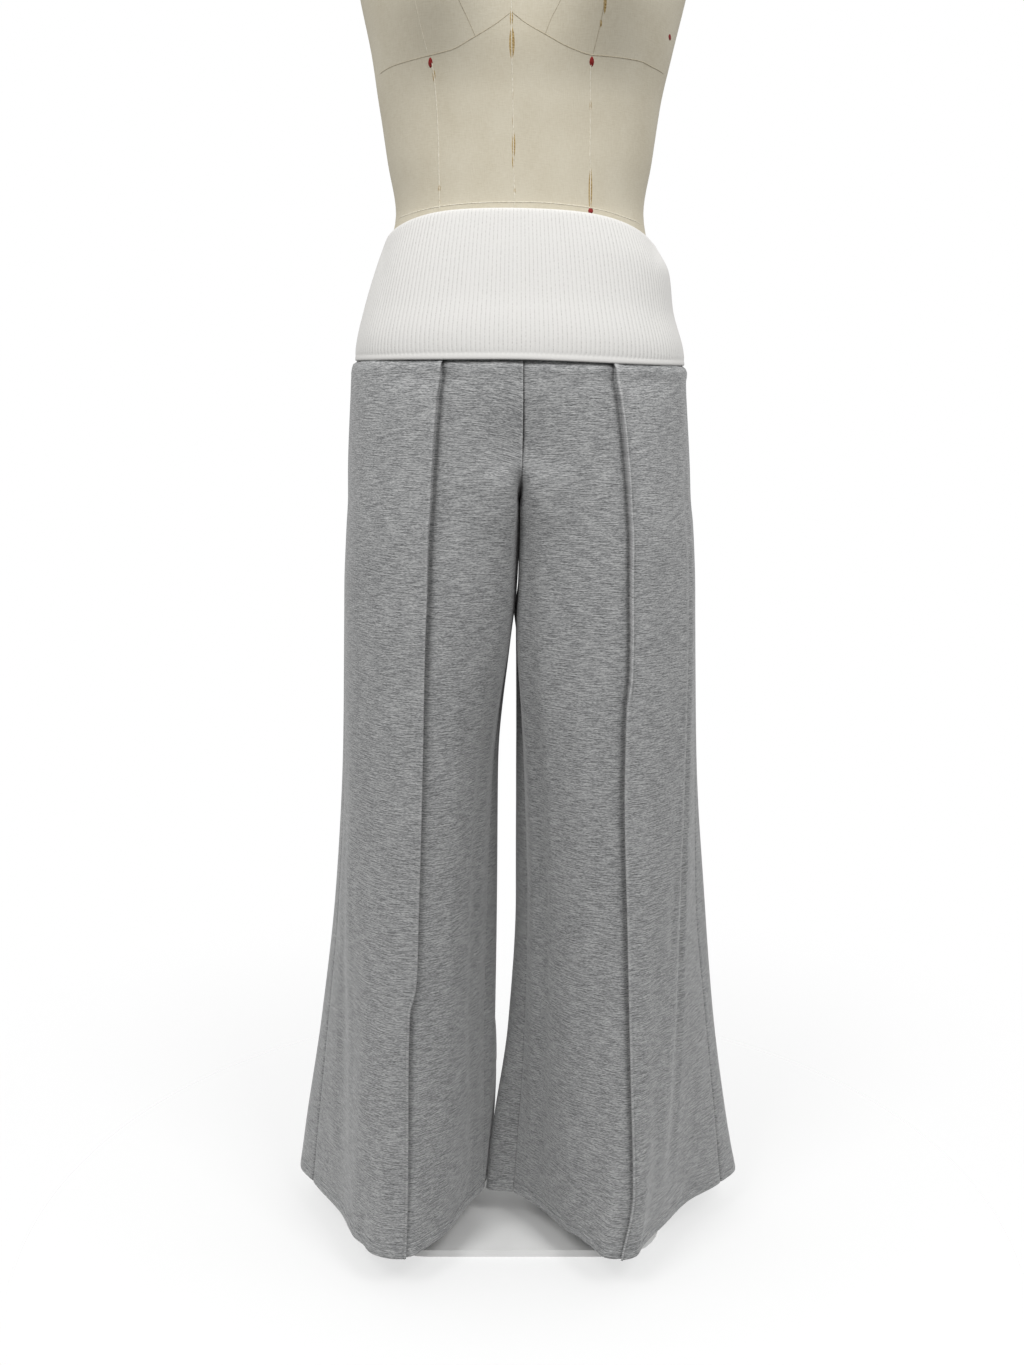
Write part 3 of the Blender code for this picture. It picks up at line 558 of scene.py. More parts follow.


# %% [markdown]
# ## Soft folds
# Knit this heavy hangs in long, shallow, upright folds. Each is drawn as a path on the
# panel, from height to height and from key line to key line, with its own depth and
# width, and dies out at both ends. No two are alike, and the seams between panels
# stay where they are.

# %% Soft folds
FOLDS = {  # depth and width in mm, then the path: (height in mm, key line)
    "left_front": (
        (-1.6, 13, (20, 2.5), (500, 2.5), (985, 2.45)),
        (-3.4, 10, (640, 1.0), (750, 1.0), (865, 0.95)),
        (0.9, 5, (50, 4.55), (78, 4.8), (100, 5.2)),
        (-0.8, 4, (52, 3.3), (66, 3.52), (84, 3.6)),
        (4.5, 11, (-50, 2.74), (45, 2.72), (170, 2.64)),
        (3.5, 10, (-40, 3.26), (45, 3.26), (150, 3.22)),
        (-2.5, 12, (-40, 2.05), (45, 2.1), (150, 2.2)),
        (0.7, 4, (50, 1.7), (64, 1.95), (90, 2.05)),
        (-6.5, 12, (40, 1.05), (430, 1.05), (840, 1.02)),
        (1.3, 19, (70, 1.9), (400, 1.95), (790, 2.05)),
        (-1.1, 10, (110, 1.35), (400, 1.5), (700, 1.6)),
        (2.6, 4, (90, 3.98), (270, 4.4), (450, 4.74), (660, 4.88), (880, 4.88)),
        (-4.6, 6, (70, 4.3), (280, 4.72), (450, 5.0), (660, 5.13), (860, 5.13)),
        (0.9, 9, (80, 3.4), (300, 3.46), (540, 3.4)),
        (-1.0, 13, (40, 3.7), (350, 3.9), (610, 3.8)),
        (-0.8, 14, (560, 4.5), (750, 4.45), (950, 4.4)),
        (0.8, 12, (600, 3.6), (760, 3.62), (930, 3.55)),
        (-1.0, 7, (925, 0.35), (880, 0.55), (840, 1.1)),
    ),
    "right_front": (
        (-2.2, 13, (-40, 2.5), (420, 2.44), (985, 2.36)),
        (-3.4, 9, (60, 1.02), (430, 1.02), (800, 1.02)),
        (0.8, 5, (50, 3.5), (76, 3.72), (96, 4.1)),
        (-0.8, 4, (50, 4.3), (70, 4.52), (92, 4.6)),
        (0.6, 4, (50, 1.5), (70, 1.35), (88, 1.3)),
        (-4.0, 12, (-45, 4.15), (45, 4.15), (150, 4.1)),
        (2.4, 6, (610, 1.0), (760, 1.0), (885, 0.9)),
        (1.2, 13, (130, 2.25), (480, 2.2), (860, 2.1)),
        (-0.9, 11, (160, 1.6), (430, 1.62), (720, 1.6)),
        (1.3, 7, (100, 4.7), (300, 4.8), (610, 4.92)),
        (-1.6, 8, (80, 5.1), (300, 5.2), (600, 5.28)),
        (1.0, 14, (90, 3.46), (350, 3.5), (640, 3.42)),
        (-1.1, 12, (60, 3.95), (300, 3.86), (520, 3.95)),
        (-0.8, 15, (600, 4.2), (780, 4.3), (940, 4.25)),
        (0.7, 11, (660, 4.75), (790, 4.72), (930, 4.75)),
        (-1.2, 7, (925, 0.3), (885, 0.55), (845, 1.05)),
        (-0.9, 6, (905, 0.25), (870, 0.45), (838, 0.8)),
    ),
    "left_back": (
        (7.0, 22, (690, 5.0), (760, 5.05), (860, 5.0)),
        (3.0, 15, (50, 3.0), (350, 3.02), (750, 3.12)),
        (-3.0, 13, (40, 2.52), (300, 2.6), (700, 2.78)),
        (-3.2, 14, (30, 3.5), (350, 3.46), (730, 3.55)),
        (2.2, 11, (30, 3.95), (280, 3.9), (610, 3.85)),
        (-2.2, 12, (20, 4.42), (250, 4.36), (520, 4.3)),
        (2.0, 10, (20, 2.05), (250, 2.12), (530, 2.25)),
        (-1.8, 10, (20, 1.58), (220, 1.62), (470, 1.72)),
        (1.6, 9, (20, 4.85), (200, 4.82), (400, 4.8)),
        (-1.6, 8, (770, 4.8), (795, 4.1), (812, 3.3)),
        (1.2, 9, (745, 4.7), (765, 4.0), (780, 3.2)),
        (-1.2, 8, (725, 4.6), (738, 3.95), (745, 3.4)),
        (-1.0, 10, (860, 2.3), (910, 2.35), (950, 2.3)),
    ),
    "right_back": (
        (8.5, 20, (-60, 4.72), (100, 4.74), (255, 4.8)),
        (3.2, 14, (40, 3.08), (330, 3.0), (730, 3.05)),
        (-2.8, 13, (30, 2.62), (280, 2.58), (660, 2.66)),
        (-3.0, 13, (20, 3.55), (320, 3.52), (760, 3.6)),
        (2.4, 12, (30, 4.02), (260, 4.0), (560, 3.9)),
        (-2.0, 11, (20, 4.5), (220, 4.45), (480, 4.4)),
        (2.2, 11, (20, 2.12), (230, 2.05), (560, 2.15)),
        (-2.0, 10, (20, 1.66), (240, 1.6), (430, 1.64)),
        (1.4, 8, (20, 1.15), (160, 1.2), (330, 1.3)),
        (-1.7, 8, (780, 4.75), (800, 4.0), (810, 3.2)),
        (1.2, 9, (752, 4.65), (772, 3.95), (782, 3.3)),
        (-1.1, 8, (730, 4.7), (742, 4.1), (750, 3.5)),
        (-1.0, 10, (850, 2.4), (900, 2.42), (945, 2.35)),
    ),
}
FOLD_STEPS, FOLD_FADE = 48, 0.7
EDGE_CALM = (0.003, 0.026)  # folds fade in over this distance from a seam
FINE_RIPPLE, WIDE_RIPPLE = (0.22, 0.0125), (0.18, 0.0310)  # height in mm, length in metres
RIPPLE_WANDER, RIPPLE_LEAN = 0.13, 0.09  # how far up the leg the one wanders and the other leans
print("folds:", {name: len(folds) for name, folds in FOLDS.items()})


def fold_field(name, keys_at, lengths):
    """How far the folds move the cloth, at each point of a panel's grid."""
    edge = np.minimum(lengths, keys_at[:, -1:] - lengths)
    lengths, keys_at = lengths - keys_at[:, 3:4], keys_at - keys_at[:, 3:4]
    up = np.broadcast_to(heights[:, None], lengths.shape)
    t = np.linspace(0, 1, FOLD_STEPS)
    index = np.arange(keys_at.shape[1])
    fine = np.sin(lengths / FINE_RIPPLE[1] + 2 * np.sin(up / RIPPLE_WANDER))
    wide = np.sin(lengths / WIDE_RIPPLE[1] - up / RIPPLE_LEAN + 1)
    total = (FINE_RIPPLE[0] * fine + WIDE_RIPPLE[0] * wide) * MM
    for depth, width, *path in FOLDS[name]:
        z, lines = smooth(np.linspace(0, 1, len(path)), np.array(path), t).T
        z = z * MM
        across = np.array([
            np.interp(line, index, [np.interp(h, heights, keys_at[:, j]) for j in index])
            for h, line in zip(z, lines)
        ])
        gap = (lengths - across[:, None, None]) ** 2 + (up - z[:, None, None]) ** 2
        spacing = math.dist((across[0], z[0]), (across[-1], z[-1])) / FOLD_STEPS
        nearest = np.maximum(gap.min(axis=0) - (spacing / 2) ** 2, 0.0)
        fade = np.sin(np.pi * np.clip(t[gap.argmin(axis=0)], 0.001, 0.999)) ** FOLD_FADE
        total += depth * MM * fade * np.exp(-nearest / (width * MM) ** 2)
    return total * rise(edge, *EDGE_CALM)


# %% [markdown]
# ## Panels
# A panel is a thin closed wall: an outer grid with tuck, folds, seam and hem, and an
# inner grid that follows the same folds. Two edges that are sewn together roll inwards
# and meet face to face, which draws the seam as a fine groove. At the hem the cloth is
# double and its lower edge is round.

# %% Panel grids
OUTWARD = {"left": 1, "right": -1}  # the way across from the middle
SEAM_GAP = 0.00005
EDGE_LINES = np.array([0.0, 0.0004, 0.0010, 0.0020, 0.0035, 0.0060])  # columns beside a seam
FRONT_FILL, SIDE_FILL, BACK_FILL = 28, 34, 78  # columns between seam, tuck and seam
print("columns beside a seam:", len(EDGE_LINES))


def between(low, high, count):
    """Columns that share out the way between two lines, ends left out."""
    t = np.linspace(0, 1, count + 2)[None, 1:-1]
    return low[:, None] + (high - low)[:, None] * t


def panel_lengths(side, part, keys_at):
    """Where the columns stand, outside and inside, and how far the tuck lifts them."""
    start = SEAM_GAP + EDGE_LINES[None, :] + np.zeros((len(heights), 1))
    end = keys_at[:, -1:] - start[:, ::-1]
    if part == "back":
        middle = between(start[:, -1], end[:, 0], BACK_FILL)
        outer = np.concatenate([start, middle, end], axis=1)
        return outer, outer, 0.0, 0.0
    tuck, lift, tuck_inside, fold = tuck_lines(side, keys_at[:, 3])
    inner_fill = between(start[:, -1], tuck[:, 0], FRONT_FILL)
    outer_fill = between(tuck[:, -1], end[:, 0], SIDE_FILL)
    outer = np.concatenate([start, inner_fill, tuck, outer_fill, end], axis=1)
    inside = np.concatenate([start, inner_fill, tuck_inside, outer_fill, end], axis=1)
    begin = start.shape[1] + FRONT_FILL
    lifts = tuck_step(side, outer - fold[:, None])
    lifts[:, begin + TUCK_BASE:] = 0.0
    under = np.minimum(tuck[:, :TUCK_BASE] - fold[:, None], 0.0)
    lifts[:, begin:begin + TUCK_BASE] = tuck_step(side, under)
    lifts[:, begin:begin + lift.shape[1]] += lift
    return outer, inside, lifts, tuck_step(side, inside - fold[:, None])


# %% Hem, seams and the band's hold
CLOTH, HEM_CLOTH = 0.0018, 0.0027
HEM_TURN, HEM_BLEND = 0.018, 0.002
HEM_EDGE, HEM_ROUND, HEM_THIN = 0.0007, 0.0010, 0.0009  # its lower edge is round and thin
GROOVE, GROOVE_WIDE, GROOVE_UP = 0.00075, 0.0009, 0.0003  # of the stitching, just above its row
PLUMP = 0.00025  # between edge and stitching
SEAM_DROP, SEAM_SHARP, SEAM_CURVE = 0.0021, 0.0014, 1.3
SEAM_WIDE, WIDE_SHARE = 0.006, 0.3
BAND_LOW, BAND_DROOP = 0.9635, 0.0048
DROOP_FROM = (-0.02, 0.15)  # across; the band sits lower on the wearer's left
HELD_IN = 0.0014  # the band presses the cloth in by this much, and its seams flat
HELD_FROM = (-0.0005, 0.0015)  # above the band's edge
SWELL_START = 0.9633  # just under the band's edge
SLIT_MIDDLE, SLIT_PLACE, SLIT_REACH = 0.0007, 0.008, 0.085  # in front it swells out later
HIP_SWELL, SWELL_OUT, SWELL_END = 0.003, 0.003, 0.017


def hem_profile():
    """How far the hem pulls the outside in at each row, and the wall's thickness there."""
    above = heights - HEM
    edge = np.exp(-((above / HEM_EDGE) ** 2))
    groove = sum(np.exp(-(((heights - z - GROOVE_UP) / GROOVE_WIDE) ** 2)) for z in HEM_STITCHING)
    turned = HEM_TURN + HEM_BLEND
    full = rise(above, 0.0, HEM_BLEND) * (1 - rise(above, HEM_TURN - HEM_BLEND / 2, turned))
    wall = HEM_CLOTH - (HEM_CLOTH - CLOTH) * rise(above, HEM_TURN, turned)
    outside = PLUMP * full - HEM_ROUND * edge - GROOVE * groove
    return outside[:, None], (wall - HEM_THIN * edge)[:, None]


def band_droop(across):
    """How much lower the band sits at a place across."""
    return BAND_DROOP * rise(across, *DROOP_FROM)


def under_band(across):
    """The cloth swells out again where the band no longer holds it."""
    middle = np.exp(-(((across - SLIT_PLACE) / SLIT_REACH) ** 4))
    below = SWELL_START - band_droop(across) - SLIT_MIDDLE * middle - heights[:, None]
    return HIP_SWELL * rise(below, 0.0, SWELL_OUT) * (1 - rise(below, SWELL_OUT, SWELL_END))


def held_by_band(across):
    """1 where the band covers the cloth, 0 below its edge."""
    return rise(heights[:, None] + band_droop(across) - BAND_LOW, *HELD_FROM)


def seam_profile(distance, drop):
    """The roll of the cloth into a seam."""
    sharp = np.exp(-((distance / SEAM_SHARP) ** SEAM_CURVE))
    return -drop * (sharp + WIDE_SHARE * np.exp(-distance / SEAM_WIDE))


# %% [markdown]
# ### Faces
# Every piece of cloth has two sides, and a thread is round. They could be flat sheets with
# a modifier, but then seam, hem and fold couldn't differ in thickness. So each piece is a
# numbered grid of points, a wall or a tube, whose faces a few helpers close all round.

# %% Wall mesh


def mesh_object(name, points, places, faces, finish, smooth_angle=60):
    """A piece, with the place on the cloth that the finishes read at each of its points."""
    mesh = bpy.data.meshes.new(name)
    mesh.from_pydata(np.reshape(points, (-1, 3)).tolist(), [], faces)
    mesh.materials.append(finish)
    mesh.shade_smooth()
    mesh.set_sharp_from_angle(angle=math.radians(smooth_angle))
    field = mesh.attributes.new("cloth", "FLOAT_VECTOR", "POINT")
    field.data.foreach_set("vector", np.ravel(places))
    made = bpy.data.objects.new(name, mesh)
    bpy.context.scene.collection.objects.link(made)
    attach(made, "root")
    return made


def numbered(rows, columns, first=0):
    """The numbers of a grid's points."""
    return first + np.arange(rows * columns).reshape(rows, columns)


def quads(number):
    """The faces between neighbouring points of a numbered grid."""
    corners = number[:-1, :-1], number[:-1, 1:], number[1:, 1:], number[1:, :-1]
    return [tuple(face) for face in np.stack(corners, axis=-1).reshape(-1, 4).tolist()]


def closed_faces(number):
    """The faces of a closed wall, whose inner grid is numbered after its outer one."""
    rim = [*number[0], *number[1:, -1], *number[-1, -2::-1], *number[-2:0:-1, 0]]
    rim = [int(v) for v in rim]
    back = number.size
    edges = [(b, a, back + a, back + b) for a, b in zip(rim, rim[1:] + rim[:1])]
    return quads(number) + quads(back + number.T) + edges


def tube_faces(number):
    """The faces of a tube, numbered ring by ring, and of its two ends."""
    ends = [tuple(number[0, ::-1].tolist()), tuple(number[-1].tolist())]
    return quads(np.pad(number, ((0, 0), (0, 1)), mode="wrap")) + ends


def wall(name, outer, inner, places, finish, flipped):
    """A closed wall between an outer and an inner grid of points, (rows, columns, 3)."""
    if flipped:
        outer, inner, places = outer[:, ::-1], inner[:, ::-1], places[:, ::-1]
    faces = closed_faces(numbered(*outer.shape[:2]))
    return mesh_object(name, [outer, inner], [places, places], faces, finish)


# %% [markdown]
# ### Beside the centre seam
# Between the thighs the cloth is drawn in and down along the centre seam, and lower down
# the two legs press on each other. Where a fold was ironed or stitched sharp, a painted
# highlight is marked along its edge for the finish, which is lighter there.

# %% Beside the centre seam
CENTRE_SINK = {"left": (0.0105, 0.019), "right": (0.008, 0.024)}  # depth and reach at this seam
SINK_LOW, SINK_HIGH, SINK_ENDS = (0.845, 0.885), (0.876, 0.951), 0.92
CENTRE_ROLL = {"left_front": 0.6, "right_front": 0.1}  # the share that rolls in at it
ROLL_BELOW, ROLL_ABOVE = (0.64, 0.70), (0.87, 0.89)  # between them the thighs press the seam flat
CENTRE_DRAG = {"left": 0.004, "right": 0.011}  # how far the courses are pulled down at it
DRAG_REACH, DRAG_LOW, DRAG_HIGH, DRAG_ENDS = 0.026, (0.80, 0.88), (0.90, 0.96), 0.6
FOLD_HIGHLIGHT_LINES = np.array([0.6, 1.0, 1.0, 0.45])  # how strongly each line on the tuck's fold gets the painted highlight
FOLD_HIGHLIGHT = {"left": 0.85, "right": 0.3}
HIGHLIGHT_RISE, HIGHLIGHT_LOW = (0.62, 0.66), 0.55  # further down the painted highlight is weaker
SEAM_HIGHLIGHT, SEAM_HIGHLIGHT_LOW = 0.5, 0.865  # painted highlight on the right front's edge at the centre, upwards from this height
PRESSED_APART = (0.70, 0.74)  # above this the thighs press on each other
OUTER = {}  # each panel's outer grid, for its hem stitches
BETWEEN_LEGS = (read(LEFT_FRONT, heights) + read(RIGHT_FRONT, heights))[:, :1, 0] / 2


def sunk(side, from_centre):
    """How far the cloth sinks in at the centre seam, most some way above the crotch."""
    depth, reach = CENTRE_SINK[side]
    by_height = rise(heights, *SINK_LOW) * (1 - SINK_ENDS * rise(heights, *SINK_HIGH))
    return depth * by_height[:, None] * np.exp(-from_centre / reach)


def dragged(side, from_centre):
    """How far the courses are pulled down at the centre seam."""
    by_height = rise(heights, *DRAG_LOW) * (1 - DRAG_ENDS * rise(heights, *DRAG_HIGH))
    return CENTRE_DRAG[side] * np.exp(-from_centre / DRAG_REACH) * by_height[:, None]


def painted_highlight_edges(side, shape):
    """How strong the painted highlight is along the tuck's fold and a seam edge, at each point of a
    front's grid.
    """
    highlight_mask = np.zeros(shape)
    begin = len(EDGE_LINES) + FRONT_FILL + FOLD_LINE
    strong = FOLD_HIGHLIGHT[side] * (HIGHLIGHT_LOW + (1 - HIGHLIGHT_LOW) * rise(heights, *HIGHLIGHT_RISE))
    highlight_mask[:, begin:begin + len(FOLD_HIGHLIGHT_LINES)] = strong[:, None] * FOLD_HIGHLIGHT_LINES
    if side == "right":
        highlight_mask[heights > SEAM_HIGHLIGHT_LOW, :3] = SEAM_HIGHLIGHT
    return highlight_mask


def pushed_apart(across, out):
    """How far each leg's cloth gives way where the thighs press together, below the crotch."""
    inside = SEAM_GAP - (across - BETWEEN_LEGS) * out
    return np.maximum(inside, 0.0) * rise(heights, *PRESSED_APART)[:, None] * out


# %% Panel


def panel(side, part, tables, finish):
    """One of the four panels, and its outer grid, kept for the stitches."""
    name, out, front = f"{side}_{part}", OUTWARD[side], part == "front"
    keys = leg_keys(*tables)
    walk = walked(keys[:, :9] if front else keys[:, 6:])
    keys_at = walk[2][:, ::STEPS]
    crease, width = keys_at[:, 3:4], keys_at[:, -1:]
    lengths, inside, lift, inner_step = panel_lengths(side, part, keys_at)
    ends = lengths, width - lengths
    from_centre, from_side = ends if front else ends[::-1]
    hem, thick = hem_profile()
    roll = rise(heights, *ROLL_ABOVE) + 1 - rise(heights, *ROLL_BELOW)
    shape = seam_profile(from_centre, SEAM_DROP * CENTRE_ROLL.get(name, 1.0)) * roll[:, None]
    shape = shape + seam_profile(from_side, SEAM_DROP)
    outer_lift = lift + shape + hem + fold_field(name, keys_at, lengths)
    inner_lift = fold_field(name, keys_at, inside) + inner_step + shape - thick
    grids = []
    for place, amount in ((lengths, outer_lift), (inside, inner_lift)):
        flat, run = at_lengths(walk, place)
        held = (shape + HELD_IN) * held_by_band(flat[..., 0])
        amount = amount + under_band(flat[..., 0]) - held
        normal = np.stack([run[..., 1], -run[..., 0]], axis=2) * out
        x, y = np.moveaxis(flat + normal * amount[..., None], -1, 0)
        grids.append(points_of(x, y + (sunk(side, from_centre) if front else 0.0), heights[:, None]))
    push = pushed_apart(grids[0][..., 0], out)
    for grid in grids:
        grid[..., 0] += push
    OUTER[name] = grids[0]
    turn = 3.0 * (out > 0) + 5.0 * (not front)  # each panel has its own part of the noise
    # The painted highlight along the tuck's fold and the seam edge goes into the places' third number.
    highlight_mask = painted_highlight_edges(side, lengths.shape) if front else 0.0
    up = heights[:, None] + dragged(side, from_centre)
    places = points_of((lengths - crease) * out + turn, up, highlight_mask)
    made = wall(f"{name}_panel", *grids, places, finish, out < 0)
    area = sum(face.area for face in made.data.polygons) / 2
    print(made.name, grids[0].shape[:2], f"{area:.3f} m2, {width[0, 0]:.3f} m wide at the hem")
    return made


TABLES = {"left": (LEFT_FRONT, LEFT_BACK), "right": (RIGHT_FRONT, RIGHT_BACK)}
panels = {}
for side in ("left", "right"):
    for part in ("front", "back"):
        panels[f"{side}_{part}"] = panel(side, part, TABLES[side], heather)
        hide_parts(f"{part}_leg_{side}")

# %% [markdown]
# ## Hem stitching
# The turned hem is held by two parallel rows of stitches, ten and fifteen millimetres
# above its edge. Each stitch is a little thread capsule that lies in the groove its row
# has drawn in. They are separate shapes, so they catch the light as thread does.

# %% Hem stitching
STITCH_PITCH, STITCH_LONG, THREAD = 0.0032, 0.0024, 0.00026
STITCH_PROUD = 0.00012
STITCH_RINGS = np.array([-0.5, -0.36, 0.0, 0.36, 0.5]) * STITCH_LONG
STITCH_SIZES = np.array([0.35, 0.85, 1.0, 0.85, 0.35]) * THREAD
THREAD_SIDES = 6
THREAD_BUMP = 0.0001
STITCH_TWIST, CORD_TWIST = 0.0002, 0.0005  # how the shading winds round


def thread_finish(name, roughness, across, up, stops):
    """Thread, shaded and raised by its twist."""
    made, tree, shader = finish_of(name, roughness)
    twist = noise(tree, cloth_place(tree), across, up, detail=2.0)
    coloured(tree, shader, twist, stops)
    bumped(tree, shader, twist, THREAD_BUMP)
    return made


def ringed(centres, sizes, side, up, corners):
    """Rings of points round a line of centres, and how far round each point stands."""
    turns = np.arange(corners) * (2 * math.pi / corners)
    around = np.cos(turns)[:, None] * side[..., None, :] + np.sin(turns)[:, None] * up[..., None, :]
    return centres[..., None, :] + sizes[:, None, None] * around, turns


def gathered(name, shapes, faces_of, finish):
    """One piece made of many small closed shapes, each given as its points and their places."""
    faces, first = [], 0
    for points, _ in shapes:
        faces += faces_of(numbered(*points.shape[-3:-1], first))
        first += points.size // 3
    points, places = (np.concatenate([np.ravel(shape[i]) for shape in shapes]) for i in (0, 1))
    return mesh_object(name, points, places, faces, finish)


THREAD_SHADES = ((0.3, (0.22, 0.225, 0.23)), (0.7, (0.36, 0.365, 0.37)))
thread = thread_finish("grey_thread", 0.6, 0.5, 0.4, THREAD_SHADES)


def hem_stitches(name, grid, side):
    """Both rows of stitches across one panel."""
    out = OUTWARD[side]
    if "front" in name:
        grid = np.delete(grid, [len(EDGE_LINES) + FRONT_FILL + line for line in FLAP_LINES], axis=1)
    shapes = []
    for z in HEM_STITCHING:
        row = grid[np.argmin(abs(heights - z))]
        length = np.concatenate([[0], np.cumsum(np.linalg.norm(np.diff(row, axis=0), axis=1))])
        count = int(length[-1] / STITCH_PITCH)
        along = ((np.arange(count) + 0.5) * length[-1] / count)[:, None] + STITCH_RINGS
        centres = np.stack([np.interp(along, length, axis) for axis in row.T], axis=-1)
        way = centres[:, -1] - centres[:, 0]
        way /= np.linalg.norm(way, axis=1, keepdims=True)
        normal = points_of(way[:, 1], -way[:, 0], 0.0)[:, None] * out
        rings, turns = ringed(
            centres + normal * STITCH_PROUD, STITCH_SIZES, normal, np.array([0, 0, 1.0]), THREAD_SIDES
        )
        places = points_of(along[..., None], z + turns * STITCH_TWIST, 0.0)
        shapes += zip(rings[:, :, ::-out], places[:, :, ::-out])
    made = gathered(name, shapes, tube_faces, thread)
    print(name, len(shapes), "stitches")
    return made


stitches = {key: hem_stitches(f"{key}_hem_stitches", OUTER[key], key.split("_")[0]) for key in panels}

# %% [markdown]
# ## Waistband finish
# The band is white rib knit. Between two ribs the cloth sinks, and the loops there show as
# a line of fine dots; the grooves are painted darker too, a painted shade. The third number
# of the cloth attribute tells the finish how high on its rib a point is.

# %% Waistband finish
BAND_SHADES = (
    (0.30, (0.43, 0.42, 0.40)), (0.60, (0.62, 0.61, 0.588)), (0.88, (0.71, 0.70, 0.678)),
)
RIB_SHADE_FOOT = 0.45  # below this part of a rib's height the loops show as dots in a painted groove shade

rib_knit, tree, shader = finish_of("rib_knit", 0.88, sheen=0.1)
place = cloth_place(tree)
groove_shade_height = node(tree, "ShaderNodeSeparateXYZ", {"Vector": place}), "Z"
loops = noise(tree, place, 1.6, 1.5)
soft = noise(tree, place, 30.0, 40.0, detail=2.0)
# Painted shade: low on a rib the colour falls to the darker loop noise, high up it is full white.
dots_and_groove_shade = mixed(tree, loops, 1.0, ranged(tree, groove_shade_height, 0.0, 1.0, 0.0, RIB_SHADE_FOOT))
coloured(tree, shader, mixed(tree, dots_and_groove_shade, soft, 0.1), BAND_SHADES)
bumped(tree, shader, loops, 0.00025, 0.5)
print("rib knit shades:", len(BAND_SHADES))

# %% [markdown]
# ## Waistband
# The real band is a tube of rib knit, doubled, sewn to the waist and turned down over
# itself. So the outside ends at the bottom in a plump fold that hangs free over the
# panels, and at the top in a soft fold. One closed profile swept round the waist gives
# all of it, with the ribs raised along the girth.

# %% Waistband outline
BAND_TOP = 1.0995
BAND_ROWS = (  # part of the height; reach to the right, left, front and back, in mm
    (0.00, 162.6, 165.2, 117.5, 120.5),
    (0.12, 161.2, 163.6, 118.0, 120.5),
    (0.45, 151.6, 152.6, 110.2, 112.5),
    (0.75, 140.2, 148.0, 103.0, 103.0),
    (1.00, 129.0, 132.0, 96.0, 94.0),
)
BAND_SQUARENESS = 2.3
BAND_SIDE_DIP, BAND_DIP_CURVE = 0.019, 4
RIBS, RIB_SAMPLES = 208, 6
RIB_RELIEF, RIB_ROUND = 0.0006, 0.6
RIB_EVENING = 0.088  # evens out the ribs along the flat front and the narrow sides
BAND_RADIUS = 0.139  # the mean one, for the size of the loops
FLAP, FLAP_GAP = 0.0024, 0.0013
FLAP_STAND, STAND_UP, STAND_WIDE = 0.002, 0.22, 0.085  # in front its lower edge stands off
PANEL_EDGE = TOP + 0.0003


def oblong(angle, right, left, front, back, squareness):
    """Points of a rounded oblong at the angles, with its own reach each way."""
    c, s = np.cos(angle), np.sin(angle)
    wide, deep = np.where(c >= 0, left, right), np.where(s >= 0, back, front)
    reach = (abs(c / wide) ** squareness + abs(s / deep) ** squareness) ** (-1 / squareness)
    return reach * c, reach * s


share_round = np.arange(RIBS * RIB_SAMPLES) / (RIBS * RIB_SAMPLES)
even = 2 * math.pi * share_round
band_angle = even - RIB_EVENING * np.sin(2 * even)
rib_phase = (share_round * RIBS + 0.5) % 1.0
rib_height = (0.5 - 0.5 * np.cos(2 * math.pi * rib_phase)) ** RIB_ROUND  # narrow grooves
print("ribs:", RIBS)

# %% Waistband profile
rim_fold = (  # millimetres above the lower edge, inset in mm, share of the ribs
    (1.5, 2.4, 0.0), (0.5, 2.25, 0.0), (0.0, 1.6, 0.1), (0.12, 0.85, 0.15), (0.7, 0.25, 0.2),
    (1.6, 0.0, 0.2), (2.6, -0.1, 0.15), (3.6, -0.06, 0.15), (4.6, 0.08, 0.3), (5.4, 0.22, 0.5),
    (6.2, 0.28, 0.7), (7.2, 0.22, 0.9), (8.4, 0.1, 1.0), (10.0, 0.0, 1.0), (12.5, 0.0, 1.0),
)
top_fold = (  # part of the height, inset in mm, share of the ribs
    (0.972, 0.05, 1.0), (0.986, 0.3, 1.0), (0.995, 0.8, 0.8), (1.0, 1.5, 0.6), (0.999, 2.2, 0.5),
    (0.994, 2.9, 0.3), (0.985, 3.3, 0.2), (0.96, 3.4, 0.0), (0.7, 3.4, 0.0), (0.4, 3.4, 0.0),
)
side_height = BAND_TOP - BAND_LOW
panel_share = (PANEL_EDGE - BAND_LOW) / side_height
profile = np.array([
    *((up * MM / side_height, inset * MM, ribs) for up, inset, ribs in rim_fold),
    *((up, 0.0, 1.0) for up in np.arange(0.12, 0.96, 0.035)),
    *((up, inset * MM, ribs) for up, inset, ribs in top_fold),
    (panel_share, FLAP + FLAP_GAP + CLOTH, 0.0),  # inside, where the panels are sewn on
    (panel_share, FLAP, 0.0),
])
print("points of the band's profile:", len(profile))

# %% Waistband mesh
ups, insets, ribs = profile.T[..., None]
band_levels, *band_reaches = np.array(BAND_ROWS).T
reach = smooth(band_levels, np.transpose(band_reaches) * MM, ups[:, 0]).T[..., None]
lift = RIB_RELIEF * ribs * (rib_height - 0.5) - insets
x, y = oblong(band_angle, *(reach + lift), BAND_SQUARENESS)
stand_off = FLAP_STAND * np.maximum(0.0, 1 - ups / STAND_UP) ** 1.5
y = y - stand_off * np.exp(-((x / STAND_WIDE) ** 2)) * (y < 0)
across = np.minimum(abs(x) / (BAND_ROWS[-1][1] * MM), 1.0)
top = BAND_TOP - BAND_SIDE_DIP * across ** BAND_DIP_CURVE
level = BAND_LOW + (top - BAND_LOW) * ups - band_droop(x)
level = np.where(ups == panel_share, PANEL_EDGE, level)
rings = points_of(x, y, level)
